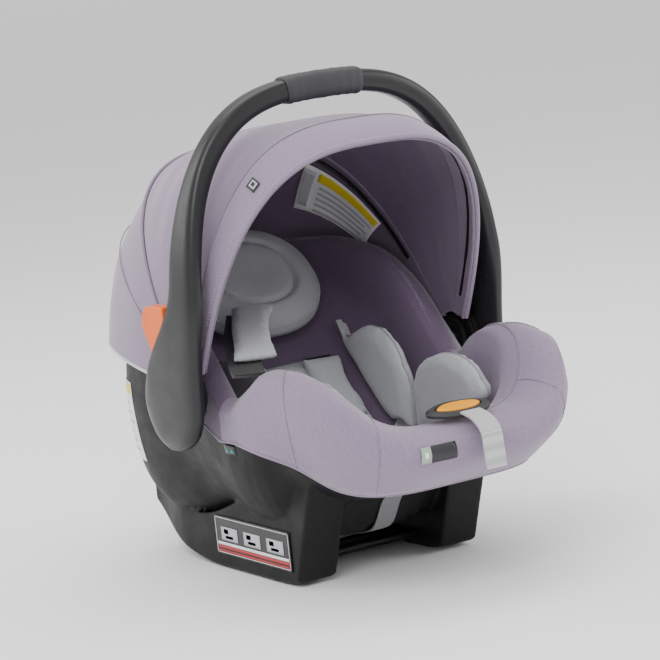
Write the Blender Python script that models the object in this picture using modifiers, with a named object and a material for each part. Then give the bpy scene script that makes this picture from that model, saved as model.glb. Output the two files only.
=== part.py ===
"""Infant car seat with a swinging carry handle, a folding canopy and a harness.

Metres, +Z up. X is across the seat, -Y is the foot end and +Y the head end.
The origin is on the floor, under the middle of the seat. Left is -X.
"""

import math

import bmesh
import bpy
from mathutils import Matrix, Vector

# ---- driving dimensions -------------------------------------------------------------
CLEAR = 0.0004            # gap between pieces that touch
WALL = 0.003              # moulded plastic wall
CLOTH = 0.0025            # sewn cover, two layers and a backing

# main axis: both the carry handle and the canopy turn about it
HUB_Y = 0.010
HUB_Z = 0.226

# hard shell: plan and depth
SHELL_HALF_WIDTH = 0.168
SHELL_REAR = 0.272        # from the pivot back to the head end
DRAWN_REAR = 0.272        # the length that the lines along the seat are drawn for
SHELL_FRONT = 0.283       # from the pivot forward to the foot end
RIM_LINE = ((-0.273, 0.178), (-0.240, 0.220), (-0.205, 0.243), (-0.160, 0.250), (-0.118, 0.243),
            (-0.080, 0.221), (-0.045, 0.207), (-0.015, 0.213), (0.012, 0.241), (0.060, 0.292),
            (0.120, 0.322), (0.200, 0.334), (0.282, 0.332))
BELLY_LINE = ((-0.273, 0.122), (-0.200, 0.104), (-0.125, 0.089), (-0.100, 0.084), (-0.070, 0.046),
              (-0.040, 0.038), (0.020, 0.036), (0.150, 0.036), (0.282, 0.040))

# canopy, turned about the pivot line
CANOPY_HEAD_ROOM = 0.0315 # from the shell's head end out to the cloth
CANOPY_SIDE_ROOM = 0.0125 # from the shell's side out to the cloth
CANOPY_RADIUS = SHELL_REAR + CANOPY_HEAD_ROOM
CANOPY_HALF_WIDTH = SHELL_HALF_WIDTH + CANOPY_SIDE_ROOM
CANOPY_EXPONENT = 2.9     # how square the canopy is over its bows
REAR_EXPONENT = 3.5       # and at its rear hem
CANOPY_LAYER = 0.0020
VISOR_FRONT = math.radians(-29)
VISOR_REAR = math.radians(-19)
REAR_BOW = math.radians(34)
CANOPY_HEM = math.radians(82)
BOW_RADIUS = 0.0022
CANOPY_FOOT = 0.030       # how near the cloth comes to the pivot

# carry handle, over the canopy
HUB_RADIUS = 0.060        # round end of each handle arm
ARM_ROOM = 0.025          # from the canopy's side to the middle of an arm
GRIP_ROOM = 0.0235        # from the canopy's top to the middle of the grip
ARCH_HALF_WIDTH = CANOPY_HALF_WIDTH + ARM_ROOM
ARCH_HEIGHT = CANOPY_RADIUS + GRIP_ROOM
ARCH_EXPONENT = 2.9
ARM_THICKNESS = 0.022
ARM_WIDTH_MID = 0.052
GRIP_DEPTH = 0.029
GRIP_HALF_LENGTH = 0.050
GRIP_SLEEVE = 0.0022
GRIP_STEPS = 6
ARM_STEPS = 11
ARCH_LEAN = 0.045         # how far the grip stands forward of the pivot

# rocker rails under the shell
RAIL_INSET = 0.045        # from the shell's side in to a rail's outer face
RAIL_OUTER = SHELL_HALF_WIDTH - RAIL_INSET
RAIL_INNER = 0.072
RAIL_FRONT = -0.078
RAIL_REAR = HUB_Y + SHELL_REAR - 0.020
RAIL_FLAT_FRONT = -0.020
RAIL_FLAT_REAR = 0.090
RAIL_RADIUS_FRONT = 0.34
RAIL_RADIUS_REAR = 0.30
RAIL_LEAN = 0.38
RAIL_BITE = 0.0009        # how far a rail's walls run into the bucket's wall
SLOT_LENGTH = 0.060
SLOT_HEIGHT = 0.014

# seating hollow
LINER_INSET = 0.026       # foam and cover on each side of the hollow
LINER_THICKNESS = 0.012
LINING_GAP = 0.0022       # between the foam and the cover
FRONT_LIP = 0.036         # extra depth of the foot end's rolled lip
ROLL_RISE = 0.011         # height of the padded roll over the rim
SEAT_LINE = ((-0.250, 0.178), (-0.200, 0.150), (-0.120, 0.112), (-0.040, 0.102), (0.030, 0.122),
             (0.120, 0.212), (0.200, 0.288), (0.262, 0.322))
COVER_TOP = CLOTH + 0.0085        # pads lie this far above the foam
INSERT_THICKNESS = 0.015
ROUND = 40                # points round the rim
HOLLOW_LEVELS = (0.10, 0.26, 0.42, 0.58, 0.74, 0.88, 0.965)
BACK_ORIGIN = Vector((0.0, 0.120, 0.212))
BACK_ANGLE = math.radians(44)

# pivot hardware
AXLE_RADIUS = 0.0085
BOSS_RADIUS = 0.035
BOSS_INSIDE = CANOPY_HALF_WIDTH + 0.0075
AXLE_INSIDE = SHELL_HALF_WIDTH - 0.018
MOUNT_RADIUS = 0.034
LOCK_RADIUS = 0.030
LOCK_DEPTH = 0.010
LOCK_TEETH = 24

# harness and its fittings
STRAP_WIDTH = 0.038
STRAP_THICKNESS = 0.0014
PULL_WIDTH = 0.026
BUTTON_TRAVEL = 0.005
ADJUSTER_Y = -0.247
ADJUSTER_Z = 0.1985
ADJUSTER_TILT = math.radians(9)
BUCKLE_TRAVEL = 0.002

COLLECTION = "infant_car_seat"


# ---- scene ---------------------------------------------------------------------------
def clear_scene():
    for item in list(bpy.data.objects):
        bpy.data.objects.remove(item, do_unlink=True)


def make_collection(name):
    collection = bpy.data.collections.new(name)
    bpy.context.scene.collection.children.link(collection)
    return collection


clear_scene()
PARTS = make_collection(COLLECTION)
CUTTERS = make_collection("cutters")


def material(name, colour, roughness, metallic=0.0):
    item = bpy.data.materials.new(name)
    item.use_nodes = True
    shader = item.node_tree.nodes["Principled BSDF"]
    shader.inputs["Base Color"].default_value = (*colour, 1.0)
    shader.inputs["Roughness"].default_value = roughness
    shader.inputs["Metallic"].default_value = metallic
    return item


SHELL_BLACK = material("shell_black", (0.018, 0.018, 0.019), 0.55)
HANDLE_GREY = material("handle_grey", (0.035, 0.035, 0.038), 0.42)
GRIP_GREY = material("grip_grey", (0.065, 0.065, 0.068), 0.75)
FABRIC_LILAC = material("fabric_lilac", (0.38, 0.32, 0.40), 0.95)
FABRIC_PLUM = material("fabric_plum", (0.15, 0.11, 0.16), 0.95)
FABRIC_GREY = material("fabric_grey", (0.42, 0.43, 0.46), 0.95)
WEBBING_BLACK = material("webbing_black", (0.02, 0.02, 0.022), 0.8)
WEBBING_GREY = material("webbing_grey", (0.60, 0.60, 0.62), 0.8)
BUTTON_ORANGE = material("button_orange", (1.0, 0.36, 0.04), 0.4)
BUTTON_YELLOW = material("button_yellow", (1.0, 0.52, 0.01), 0.4)
BUTTON_RED = material("button_red", (0.6, 0.02, 0.02), 0.4)
FOAM_WHITE = material("foam_white", (0.75, 0.75, 0.74), 0.9)
STEEL = material("steel", (0.55, 0.55, 0.56), 0.3, 1.0)
LABEL_WHITE = material("label_white", (0.8, 0.8, 0.78), 0.5)


def add_object(name, mesh, paint, collection=None):
    item = bpy.data.objects.new(name, mesh)
    (collection or PARTS).objects.link(item)
    if paint is not None:
        mesh.materials.append(paint)
    return item


def mesh_object(name, bm, paint, smooth=40, collection=None):
    bmesh.ops.recalc_face_normals(bm, faces=bm.faces)
    mesh = bpy.data.meshes.new(name)
    bm.to_mesh(mesh)
    bm.free()
    mesh.shade_smooth()
    mesh.set_sharp_from_angle(angle=math.radians(smooth))
    return add_object(name, mesh, paint, collection)


def evaluated_copy(item):
    depsgraph = bpy.context.evaluated_depsgraph_get()
    mesh = bpy.data.meshes.new_from_object(item.evaluated_get(depsgraph))
    mesh.transform(item.matrix_world)
    return mesh


def freeze(item):
    """Keep the evaluated mesh of an object, and drop its modifiers."""
    bpy.context.view_layer.update()
    mesh = evaluated_copy(item)
    name = item.name
    paint = item.data.materials[0] if item.data.materials else None
    bpy.data.objects.remove(item, do_unlink=True)
    mesh.materials.clear()
    frozen = add_object(name, mesh, paint)
    return frozen


def solidify(item, thickness, offset=-1.0):
    change = item.modifiers.new("wall", "SOLIDIFY")
    change.thickness = thickness
    change.offset = offset
    change.use_even_offset = True
    change.use_quality_normals = True
    return item


def bevel(item, width, segments=2, angle=30):
    change = item.modifiers.new("edges", "BEVEL")
    change.width = width
    change.segments = segments
    change.limit_method = "ANGLE"
    change.angle_limit = math.radians(angle)
    return item


def boolean(item, cutter, operation="DIFFERENCE"):
    change = item.modifiers.new(operation.lower(), "BOOLEAN")
    change.operation = operation
    change.object = cutter
    return item


def hide_cutter(item):
    item.hide_render = True
    item.display_type = "WIRE"
    for collection in list(item.users_collection):
        collection.objects.unlink(item)
    CUTTERS.objects.link(item)
    return item


def set_origin(item, point):
    """Put an object's origin on its joint's axis, with its shape where it was."""
    place = Vector(point)
    item.data.transform(Matrix.Translation(-place))
    item.location = place
    return item


# ---- curves and shapes by formula ----------------------------------------------------
def lerp(a, b, t):
    return a + (b - a) * t


def smoothstep(t):
    t = min(1.0, max(0.0, t))
    return t * t * (3 - 2 * t)


def power(value, exponent):
    return math.copysign(abs(value) ** exponent, value)


def drawn(y):
    """Where a place behind the pivot falls on lines drawn for the length DRAWN_REAR."""
    return y - max(0.0, y - HUB_Y) * (1 - DRAWN_REAR / SHELL_REAR)


def follow(line, y):
    """Height of a smooth line through a few (y, z) points. Behind the pivot it stretches with the shell."""
    y = drawn(y)
    if y <= line[0][0]:
        return line[0][1]
    if y >= line[-1][0]:
        return line[-1][1]
    slopes = []
    for i, (here, _) in enumerate(line):
        before = line[max(i - 1, 0)]
        after = line[min(i + 1, len(line) - 1)]
        slopes.append((after[1] - before[1]) / (after[0] - before[0]))
    for i in range(len(line) - 1):
        (y0, z0), (y1, z1) = line[i], line[i + 1]
        if y <= y1:
            span = y1 - y0
            t = (y - y0) / span
            return ((2 * t**3 - 3 * t**2 + 1) * z0 + (t**3 - 2 * t**2 + t) * span * slopes[i]
                    + (3 * t**2 - 2 * t**3) * z1 + (t**3 - t**2) * span * slopes[i + 1])
    return line[-1][1]


def smooth_path(points, per_span=6):
    """Catmull-Rom curve through points."""
    points = [Vector(p) for p in points]
    ends = [points[0] * 2 - points[1]] + points + [points[-1] * 2 - points[-2]]
    result = []
    for i in range(1, len(ends) - 2):
        for step in range(per_span):
            t = step / per_span
            a, b, c, d = ends[i - 1], ends[i], ends[i + 1], ends[i + 2]
            result.append(0.5 * ((2 * b) + (c - a) * t + (2 * a - 5 * b + 4 * c - d) * t**2
                                 + (3 * b - a - 3 * c + d) * t**3))
    result.append(points[-1])
    return result


def grid(bm, rows, wrap=False):
    """Quads between rows of points; wrap joins each row's end to its start."""
    verts = [[bm.verts.new(p) for p in row] for row in rows]
    for upper, lower in zip(verts, verts[1:]):
        count = len(upper)
        for i in range(count if wrap else count - 1):
            j = (i + 1) % count
            bm.faces.new((upper[i], upper[j], lower[j], lower[i]))
    return verts


def fan(bm, ring, centre):
    tip = bm.verts.new(centre)
    for i, vert in enumerate(ring):
        bm.faces.new((vert, ring[(i + 1) % len(ring)], tip))


def strip_loft(name, rings, paint, smooth=40):
    """A closed solid through rings of equal length, with flat ends."""
    bm = bmesh.new()
    verts = grid(bm, rings, wrap=True)
    bm.faces.new(verts[0])
    bm.faces.new(list(reversed(verts[-1])))
    return mesh_object(name, bm, paint, smooth)


def ribbon(name, points, width, thickness, paint, across=(1, 0, 0), per_span=6):
    """Flat webbing along a smooth route, lying across the given direction."""
    path = smooth_path(points, per_span)
    rings = []
    for i, here in enumerate(path):
        along = (path[min(i + 1, len(path) - 1)] - path[max(i - 1, 0)]).normalized()
        side = Vector(across)
        side = (side - along * side.dot(along)).normalized()
        up = side.cross(along)
        half, thin = side * width / 2, up * thickness / 2
        rings.append([here - half - thin, here + half - thin, here + half + thin, here - half + thin])
    return strip_loft(name, rings, paint)


def prism(name, outline, x0, x1, paint, edge=0.0, segments=2):
    """An outline in Y and Z, drawn out along X."""
    bm = bmesh.new()
    near = [bm.verts.new((x0, y, z)) for y, z in outline]
    far = [bm.verts.new((x1, y, z)) for y, z in outline]
    bm.faces.new(near)
    bm.faces.new(list(reversed(far)))
    for i in range(len(outline)):
        j = (i + 1) % len(outline)
        bm.faces.new((near[i], near[j], far[j], far[i]))
    item = mesh_object(name, bm, paint)
    if edge:
        bevel(item, edge, segments)
    return item


def box(name, low, high, paint, edge=0.0, collection=None):
    bm = bmesh.new()
    size = Vector(high) - Vector(low)
    middle = (Vector(high) + Vector(low)) / 2
    bmesh.ops.create_cube(bm, size=1.0, matrix=Matrix.Translation(middle) @ Matrix.Diagonal((*size, 1.0)))
    item = mesh_object(name, bm, paint, collection=collection)
    if edge:
        bevel(item, edge)
    return item


def x_cylinder(name, x0, x1, y, z, radius, paint, sides=32, edge=0.0, collection=None):
    bm = bmesh.new()
    turn = Matrix.Rotation(math.radians(90), 4, "Y")
    place = Matrix.Translation(((x0 + x1) / 2, y, z)) @ turn
    bmesh.ops.create_cone(bm, cap_ends=True, segments=sides, radius1=radius, radius2=radius,
                          depth=abs(x1 - x0), matrix=place)
    item = mesh_object(name, bm, paint, collection=collection)
    if edge:
        bevel(item, edge)
    return item


def x_ring(name, x0, x1, y, z, inner, outer, paint, sides=32):
    """A washer about an axis along X: a rectangle turned with Screw."""
    low, high = min(x0, x1), max(x0, x1)
    bm = bmesh.new()
    corners = ((outer, high), (outer, low), (inner, low), (inner, high))
    verts = [bm.verts.new((r, 0, h)) for r, h in corners]
    for i in range(4):
        bm.edges.new((verts[i], verts[(i + 1) % 4]))
    mesh = bpy.data.meshes.new(name)
    bm.to_mesh(mesh)
    bm.free()
    item = add_object(name, mesh, paint)
    item.rotation_euler = (0, math.radians(90), 0)
    item.location = (0, y, z)
    turn = item.modifiers.new("turn", "SCREW")
    turn.axis = "Z"
    turn.steps = sides
    turn.render_steps = sides
    turn.use_merge_vertices = True
    turn.merge_threshold = 0.00001
    return item


def wire(name, points, radius, paint, resolution=2):
    data = bpy.data.curves.new(name, "CURVE")
    data.dimensions = "3D"
    data.bevel_depth = radius
    data.bevel_resolution = resolution
    data.use_fill_caps = True
    line = data.splines.new("POLY")
    line.points.add(len(points) - 1)
    for target, point in zip(line.points, points):
        target.co = (*point, 1.0)
    item = bpy.data.objects.new(name, data)
    PARTS.objects.link(item)
    data.materials.append(paint)
    return item


def spring(name, centre, axis, length, radius, gauge, turns, paint):
    """A coil spring about a line along axis, from centre."""
    along = Vector(axis).normalized()
    side = along.orthogonal().normalized()
    other = along.cross(side)
    points = []
    steps = turns * 10
    for i in range(steps + 1):
        angle = 2 * math.pi * i / 10
        travel = length * i / steps
        points.append(Vector(centre) + along * travel + (side * math.cos(angle) + other * math.sin(angle)) * radius)
    return wire(name, points, gauge, paint, resolution=1)


# ---- the bucket's surface ------------------------------------------------------------
def wall_exponent(lean):
    """How upright a wall stands: lean is -1 at the foot end, 0 at the sides, 1 at the head."""
    if lean > 0:
        return lerp(2.5, 6.0, smoothstep(lean))
    return lerp(2.5, 3.0, smoothstep(-lean))


def plan_exponent(rear, depth):
    """Plan corners are round at the rim and squarer below it."""
    if rear:
        return lerp(2.6, 4.2, smoothstep(depth / 0.5))
    return lerp(4.0, 3.2, smoothstep(depth / 0.6))


def bucket_point(theta, level, inset=0.0):
    """A point on the outer face of the shell. level runs from 0, the rim, to 1, the middle."""
    c, s = math.cos(theta), math.sin(theta)
    rear = s > 0
    exponent = wall_exponent(s)
    phi = level * math.pi / 2
    scale = math.cos(phi) ** (2 / exponent) if level < 1 else 0.0
    depth = math.sin(phi) ** (2 / exponent)
    corner = plan_exponent(rear, depth)
    x0 = (SHELL_HALF_WIDTH - inset) * power(c, 2 / corner)
    reach = (SHELL_REAR if rear else SHELL_FRONT) - inset
    y0 = reach * power(s, 2 / corner)
    x = x0 * scale
    y = HUB_Y + y0 * scale
    top = follow(RIM_LINE, HUB_Y + y0)
    floor = follow(BELLY_LINE, y) + inset
    return Vector((x, y, lerp(top, floor, depth)))


def bucket_z(x, y, inset=0.0):
    """Height of the bucket's face over a point in plan."""
    rear = y > HUB_Y
    reach = (SHELL_REAR if rear else SHELL_FRONT) - inset
    u = abs(x) / (SHELL_HALF_WIDTH - inset)
    v = abs(y - HUB_Y) / reach
    low, high = 0.0, 1.0
    for _ in range(40):
        level = (low + high) / 2
        phi = level * math.pi / 2
        lean = math.copysign(v / max(math.hypot(u, v), 1e-9), y - HUB_Y)
        exponent = wall_exponent(lean)
        scale = math.cos(phi) ** (2 / exponent)
        depth = math.sin(phi) ** (2 / exponent)
        corner = plan_exponent(rear, depth)
        size = (u**corner + v**corner) ** (1 / corner)
        if size < scale:
            low = level
        else:
            high = level
    rim_y = HUB_Y + (y - HUB_Y) / max(scale, 1e-6)
    return lerp(follow(RIM_LINE, rim_y), follow(BELLY_LINE, y) + inset, depth)


def hollow_size(rear, lift):
    """Half width, reach, plan exponent and wall exponent of the seating hollow."""
    inset = LINER_INSET + lift
    if rear:
        return SHELL_HALF_WIDTH - inset, SHELL_REAR - inset, 3.0, 4.2
    return SHELL_HALF_WIDTH - inset, SHELL_FRONT - FRONT_LIP - inset, 4.0, 3.0


def hollow_rim(y, reach):
    """The hollow's rim is as high as the shell's rim outside it."""
    outer = SHELL_REAR if y > 0 else SHELL_FRONT
    return follow(RIM_LINE, HUB_Y + y * outer / reach)


def hollow_floor(y, lift):
    return max(follow(SEAT_LINE, y) + lift, follow(BELLY_LINE, y) + 0.02)


def hollow_point(theta, level, lift=0.0):
    """A point on the seating surface. level runs from 0, the rim, to 1, the middle."""
    c, s = math.cos(theta), math.sin(theta)
    half, reach, corner, exponent = hollow_size(s > 0, lift)
    phi = level * math.pi / 2
    scale = math.cos(phi) ** (2 / exponent) if level < 1 else 0.0
    depth = math.sin(phi) ** (2 / exponent)
    x0, y0 = half * power(c, 2 / corner), reach * power(s, 2 / corner)
    x, y = x0 * scale, HUB_Y + y0 * scale
    return Vector((x, y, lerp(hollow_rim(y0, reach), hollow_floor(y, lift), depth)))


def hollow_z(x, y, lift=0.0):
    """Height of the seating surface over a point in plan."""
    half, reach, corner, exponent = hollow_size(y > HUB_Y, lift)
    scale = ((abs(x) / half) ** corner + (abs(y - HUB_Y) / reach) ** corner) ** (1 / corner)
    depth = max(0.0, 1 - scale**exponent) ** (1 / exponent)
    rim = hollow_rim((y - HUB_Y) / max(scale, 1e-6), reach)
    return lerp(rim, hollow_floor(y, lift), depth)




def ring(function, level, *extra):
    return [function(2 * math.pi * i / ROUND + math.pi / ROUND, level, *extra) for i in range(ROUND)]


# ---- hard shell ----------------------------------------------------------------------
def rail_bottom(y):
    """Underside of a rocker rail: flat in the middle, curved up at both ends."""
    y = drawn(y)
    if y < RAIL_FLAT_FRONT:
        d = RAIL_FLAT_FRONT - y
        return RAIL_RADIUS_FRONT - math.sqrt(RAIL_RADIUS_FRONT**2 - d * d)
    if y > RAIL_FLAT_REAR:
        d = y - RAIL_FLAT_REAR
        return RAIL_RADIUS_REAR - math.sqrt(RAIL_RADIUS_REAR**2 - d * d)
    return 0.0


def rail_section(u, side):
    """One cross-section of a rail, from the outer wall's top round to the inner wall's top."""
    taper = smoothstep((u - 0.72) / 0.28)
    outer = lerp(RAIL_OUTER, RAIL_OUTER - 0.016, taper)
    base_y = lerp(RAIL_FRONT, RAIL_REAR, u)
    lean = RAIL_LEAN * (1 - smoothstep(u / 0.35))
    corner = 0.006
    middle = (outer + RAIL_INNER) / 2
    base = rail_bottom(base_y)
    points = []

    def at(x, height):
        return Vector((side * x, base_y - lean * height, base + height))

    def wall(x, steps):
        top = bucket_z(x, base_y, RAIL_BITE) - base
        for _ in range(4):
            top = bucket_z(x, base_y - lean * top, RAIL_BITE) - base
        return [corner + (top - corner) * i / steps for i in range(1, steps + 1)]

    outer_heights = wall(outer, 3)
    inner_heights = wall(RAIL_INNER, 3)
    points += [at(outer, h) for h in reversed(outer_heights)]
    for i in range(4):
        angle = math.pi / 2 * i / 3
        points.append(at(outer - corner + corner * math.cos(angle), corner - corner * math.sin(angle)))
    points.append(at(middle, 0.0))
    for i in range(4):
        angle = math.pi / 2 * (1 - i / 3)
        points.append(at(RAIL_INNER + corner - corner * math.cos(angle), corner - corner * math.sin(angle)))
    points += [at(RAIL_INNER, h) for h in inner_heights]
    return points


def face_out(item, middle):
    """Make an open shape's faces point away from a point inside it."""
    bm = bmesh.new()
    bm.from_mesh(item.data)
    inside = Vector(middle)
    total = sum((f.calc_center_median() - inside).dot(f.normal) * f.calc_area() for f in bm.faces)
    if total < 0:
        bmesh.ops.reverse_faces(bm, faces=bm.faces)
    bm.to_mesh(item.data)
    bm.free()
    return item


def make_rail(name, side):
    """A rocker rail: a trough closed at both ends, open towards the bucket."""
    bm = bmesh.new()
    sections = [rail_section(i / 18, side) for i in range(19)]
    verts = grid(bm, sections)
    for row in (verts[0], verts[-1]):
        centre = sum((v.co for v in row), Vector()) / len(row)
        tip = bm.verts.new(centre)
        for a, b in zip(row, row[1:]):
            bm.faces.new((a, b, tip))
        bm.faces.new((row[-1], row[0], tip))
    rail = mesh_object(name, bm, SHELL_BLACK)
    face_out(rail, (side * (RAIL_OUTER + RAIL_INNER) / 2, 0.09, 0.03))
    solidify(rail, WALL)
    return freeze(rail)


def make_shell():
    """Bucket and both rocker rails, moulded in one."""
    bm = bmesh.new()
    levels = (0.0, 0.12, 0.24, 0.36, 0.48, 0.60, 0.72, 0.84, 0.93)
    verts = grid(bm, [ring(bucket_point, level) for level in levels], wrap=True)
    fan(bm, verts[-1], bucket_point(0.0, 1.0))
    bucket = mesh_object("seat_shell", bm, SHELL_BLACK)
    face_out(bucket, (0, HUB_Y, HUB_Z))
    solidify(bucket, WALL)
    bucket = freeze(bucket)
    for side, word in ((-1, "left"), (1, "right")):
        rail = hide_cutter(make_rail("rail_" + word, side))
        boolean(bucket, rail, "UNION")
    slots = box("latch_slots", (-RAIL_INNER - 0.006, -0.040, 0.010),
                (RAIL_INNER + 0.006, -0.040 + SLOT_LENGTH, 0.010 + SLOT_HEIGHT), None)
    boolean(bucket, hide_cutter(slots))
    return bore_pivots(bucket)


def make_pivot_bores():
    """Cutters for both axles, from inside the foam to inside the handle's arms."""
    bores = []
    for side, word in ((-1, "left"), (1, "right")):
        x0, x1 = sorted((side * (AXLE_INSIDE - CLEAR), side * (ARCH_HALF_WIDTH + ARM_THICKNESS / 4)))
        bore = x_cylinder("pivot_bore_" + word, x0, x1, HUB_Y, HUB_Z, AXLE_RADIUS + CLEAR, None)
        bores.append(hide_cutter(bore))
    return bores


def bore_pivots(item):
    for bore in PIVOT_BORES:
        boolean(item, bore)
    return item


# ---- foam liner and sewn cover -------------------------------------------------------
def make_liner():
    """Energy-absorbing foam under the cover, all round the hollow."""
    bm = bmesh.new()
    verts = grid(bm, [ring(hollow_point, level) for level in HOLLOW_LEVELS], wrap=True)
    fan(bm, verts[-1], hollow_point(0.0, 1.0))
    liner = mesh_object("foam_liner", bm, FOAM_WHITE)
    face_out(liner, (0, HUB_Y, HUB_Z))
    solidify(liner, LINER_THICKNESS, 1.0)
    return bore_pivots(freeze(liner))


def skirt_flare(y):
    """The cover hugs the shell under the canopy and stands out in front of it."""
    return lerp(0.013, 0.0012, smoothstep((y + 0.085) / 0.045))


def hem_height(y):
    """Lower edge of the cover outside the shell."""
    return follow(((-0.300, 0.118), (-0.220, 0.130), (-0.150, 0.160), (-0.080, 0.176),
                   (0.000, 0.180), (0.060, 0.250), (0.150, 0.300), (0.290, 0.308)), y)


def shell_at(theta, z):
    """The point on the bucket's face at a given height, above its underside."""
    low, high = 0.0, 0.9
    for _ in range(24):
        level = (low + high) / 2
        if bucket_point(theta, level).z > z:
            low = level
        else:
            high = level
    return bucket_point(theta, low)


def skirt_point(theta, drop):
    """A point on the cover outside the shell. drop runs from 0, the rim, to 1, the hem."""
    rim = bucket_point(theta, 0.0)
    z = lerp(rim.z, hem_height(rim.y), drop)
    front = smoothstep((-rim.y - 0.10) / 0.12)
    face = shell_at(theta, z) if rim.y > 0 else rim
    out = Vector((face.x, face.y - HUB_Y, 0)).normalized()
    tuck = 0.050 * front * drop**2.2
    bulge = 0.010 * front * math.sin(math.pi * min(1.0, drop * 1.2)) * (1 - drop)
    spot = face + out * (skirt_flare(rim.y) + CLEAR + bulge - tuck)
    return Vector((spot.x, spot.y, z))


def cover_profile(theta):
    """From the middle of the seat, up the hollow, over the rim and down to the hem."""
    lift = LINING_GAP
    points = [hollow_point(theta, level, lift) for level in reversed(HOLLOW_LEVELS)]
    inside = hollow_point(theta, 0.0, lift)
    outside = skirt_point(theta, 0.0)
    for i in range(5):
        t = i / 4
        arch = math.sin(math.pi * lerp(0.12, 0.88, t))
        spot = inside.lerp(outside, t)
        spot.z = lerp(inside.z, outside.z, t) + ROLL_RISE * arch
        points.append(spot)
    points += [skirt_point(theta, drop) for drop in (0.22, 0.5, 0.78, 1.0)]
    return points


def make_cover():
    """Sewn seat cover: lines the hollow, rolls over the rim and hangs outside the shell."""
    bm = bmesh.new()
    angles = [2 * math.pi * i / ROUND + math.pi / ROUND for i in range(ROUND)]
    profiles = [cover_profile(theta) for theta in angles]
    rows = [[profile[k] for profile in profiles] for k in range(len(profiles[0]))]
    verts = grid(bm, rows, wrap=True)
    fan(bm, verts[0], hollow_point(0.0, 1.0, LINING_GAP))
    cover = mesh_object("seat_cover", bm, FABRIC_LILAC)
    face_out(cover, (0, HUB_Y, HUB_Z))
    solidify(cover, CLOTH)
    return bore_pivots(freeze(cover))


# ---- carry handle --------------------------------------------------------------------
def arm_middle(z):
    """The arm's middle leans forward as it rises."""
    return HUB_Y - ARCH_LEAN * smoothstep((z - HUB_Z) / 0.125)


def arm_half_width(z):
    low = z - HUB_Z
    if low < 0:
        return math.sqrt(max(HUB_RADIUS**2 - low * low, 0.0))
    neck = lerp(HUB_RADIUS, ARM_WIDTH_MID / 2, smoothstep(low / 0.135))
    return lerp(neck, GRIP_DEPTH / 2, smoothstep((low - 0.135) / 0.15))


def handle_section(x, z, normal, half_width, half_thick):
    """A rounded rectangle in the plane of Y and the arch's normal."""
    points = []
    middle = Vector((x, arm_middle(z), z))
    for i in range(16):
        angle = 2 * math.pi * (i + 0.5) / 16
        across = half_width * power(math.cos(angle), 0.55)
        deep = half_thick * power(math.sin(angle), 0.7)
        points.append(middle + Vector((0, across, 0)) + normal * deep)
    return points


def arch_point(angle):
    """The arch's middle line, from one pivot at 0 over the top to the other at 180 degrees."""
    x = -ARCH_HALF_WIDTH * power(math.cos(angle), 2 / ARCH_EXPONENT)
    z = HUB_Z + ARCH_HEIGHT * power(math.sin(angle), 2 / ARCH_EXPONENT)
    return x, z


def arch_normal(angle, step=0.004):
    x0, z0 = arch_point(max(angle - step, 0.0))
    x1, z1 = arch_point(min(angle + step, math.pi))
    along = Vector((x1 - x0, 0, z1 - z0)).normalized()
    return Vector((-along.z, 0, along.x))


def grip_angle():
    """Where on the arch the grip sleeve starts."""
    return math.acos(min(1.0, (GRIP_HALF_LENGTH / ARCH_HALF_WIDTH) ** (ARCH_EXPONENT / 2)))


def handle_rings(grow, first, last, steps):
    rings = []
    for i in range(steps + 1):
        angle = lerp(first, last, i / steps)
        x, z = arch_point(angle)
        thick = lerp(ARM_THICKNESS, GRIP_DEPTH * 0.9, smoothstep((z - HUB_Z - 0.15) / 0.15)) / 2
        rings.append(handle_section(x, z, arch_normal(angle), arm_half_width(z) + grow, thick + grow))
    return rings


def paddle_rings(side):
    """The round lower end of an arm, below its pivot."""
    rings = []
    normal = Vector((side, 0, 0))
    for low in (0.0588, 0.056, 0.050, 0.040, 0.027, 0.014):
        thin = ARM_THICKNESS / 2 * (1 - 0.35 * smoothstep((low - 0.045) / 0.015))
        z = HUB_Z - low
        rings.append(handle_section(side * ARCH_HALF_WIDTH, z, normal, arm_half_width(z), thin))
    return rings


def make_handle():
    left = paddle_rings(-1)
    right = list(reversed(paddle_rings(1)))
    for ring_points in right:
        half = len(ring_points) // 2
        ring_points[:] = [ring_points[(half - 1 - i) % len(ring_points)] for i in range(len(ring_points))]
    grip = grip_angle()
    arch = handle_rings(0.0, 0.0, grip, ARM_STEPS)
    arch += handle_rings(0.0, grip, math.pi - grip, GRIP_STEPS)[1:]
    arch += handle_rings(0.0, math.pi - grip, math.pi, ARM_STEPS)[1:]
    handle = strip_loft("handle_bow", align(left + arch + right), HANDLE_GREY, 50)
    for side, word in ((-1, "left"), (1, "right")):
        pocket = x_cylinder("lock_pocket_" + word, side * (ARCH_HALF_WIDTH - ARM_THICKNESS),
                            side * (ARCH_HALF_WIDTH - ARM_THICKNESS / 2 + LOCK_DEPTH + CLEAR),
                            HUB_Y, HUB_Z, LOCK_RADIUS + CLEAR, None, sides=48)
        boolean(handle, hide_cutter(pocket))
        slot = button_solid("button_pocket_" + word, side, CLEAR * 2, BUTTON_TRAVEL + CLEAR * 2)
        boolean(handle, hide_cutter(slot))
    handle = freeze(handle)
    return set_origin(handle, (0, HUB_Y, HUB_Z))


def align(rings):
    """Turn each ring so that its points follow on from the ring before."""
    count = len(rings[0])
    result = [rings[0]]
    for ring_points in rings[1:]:
        options = []
        for candidate in (ring_points, list(reversed(ring_points))):
            for shift in range(count):
                turned = candidate[shift:] + candidate[:shift]
                far = sum((a - b).length for a, b in zip(turned, result[-1]))
                options.append((far, turned))
        result.append(min(options, key=lambda option: option[0])[1])
    return result


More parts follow.
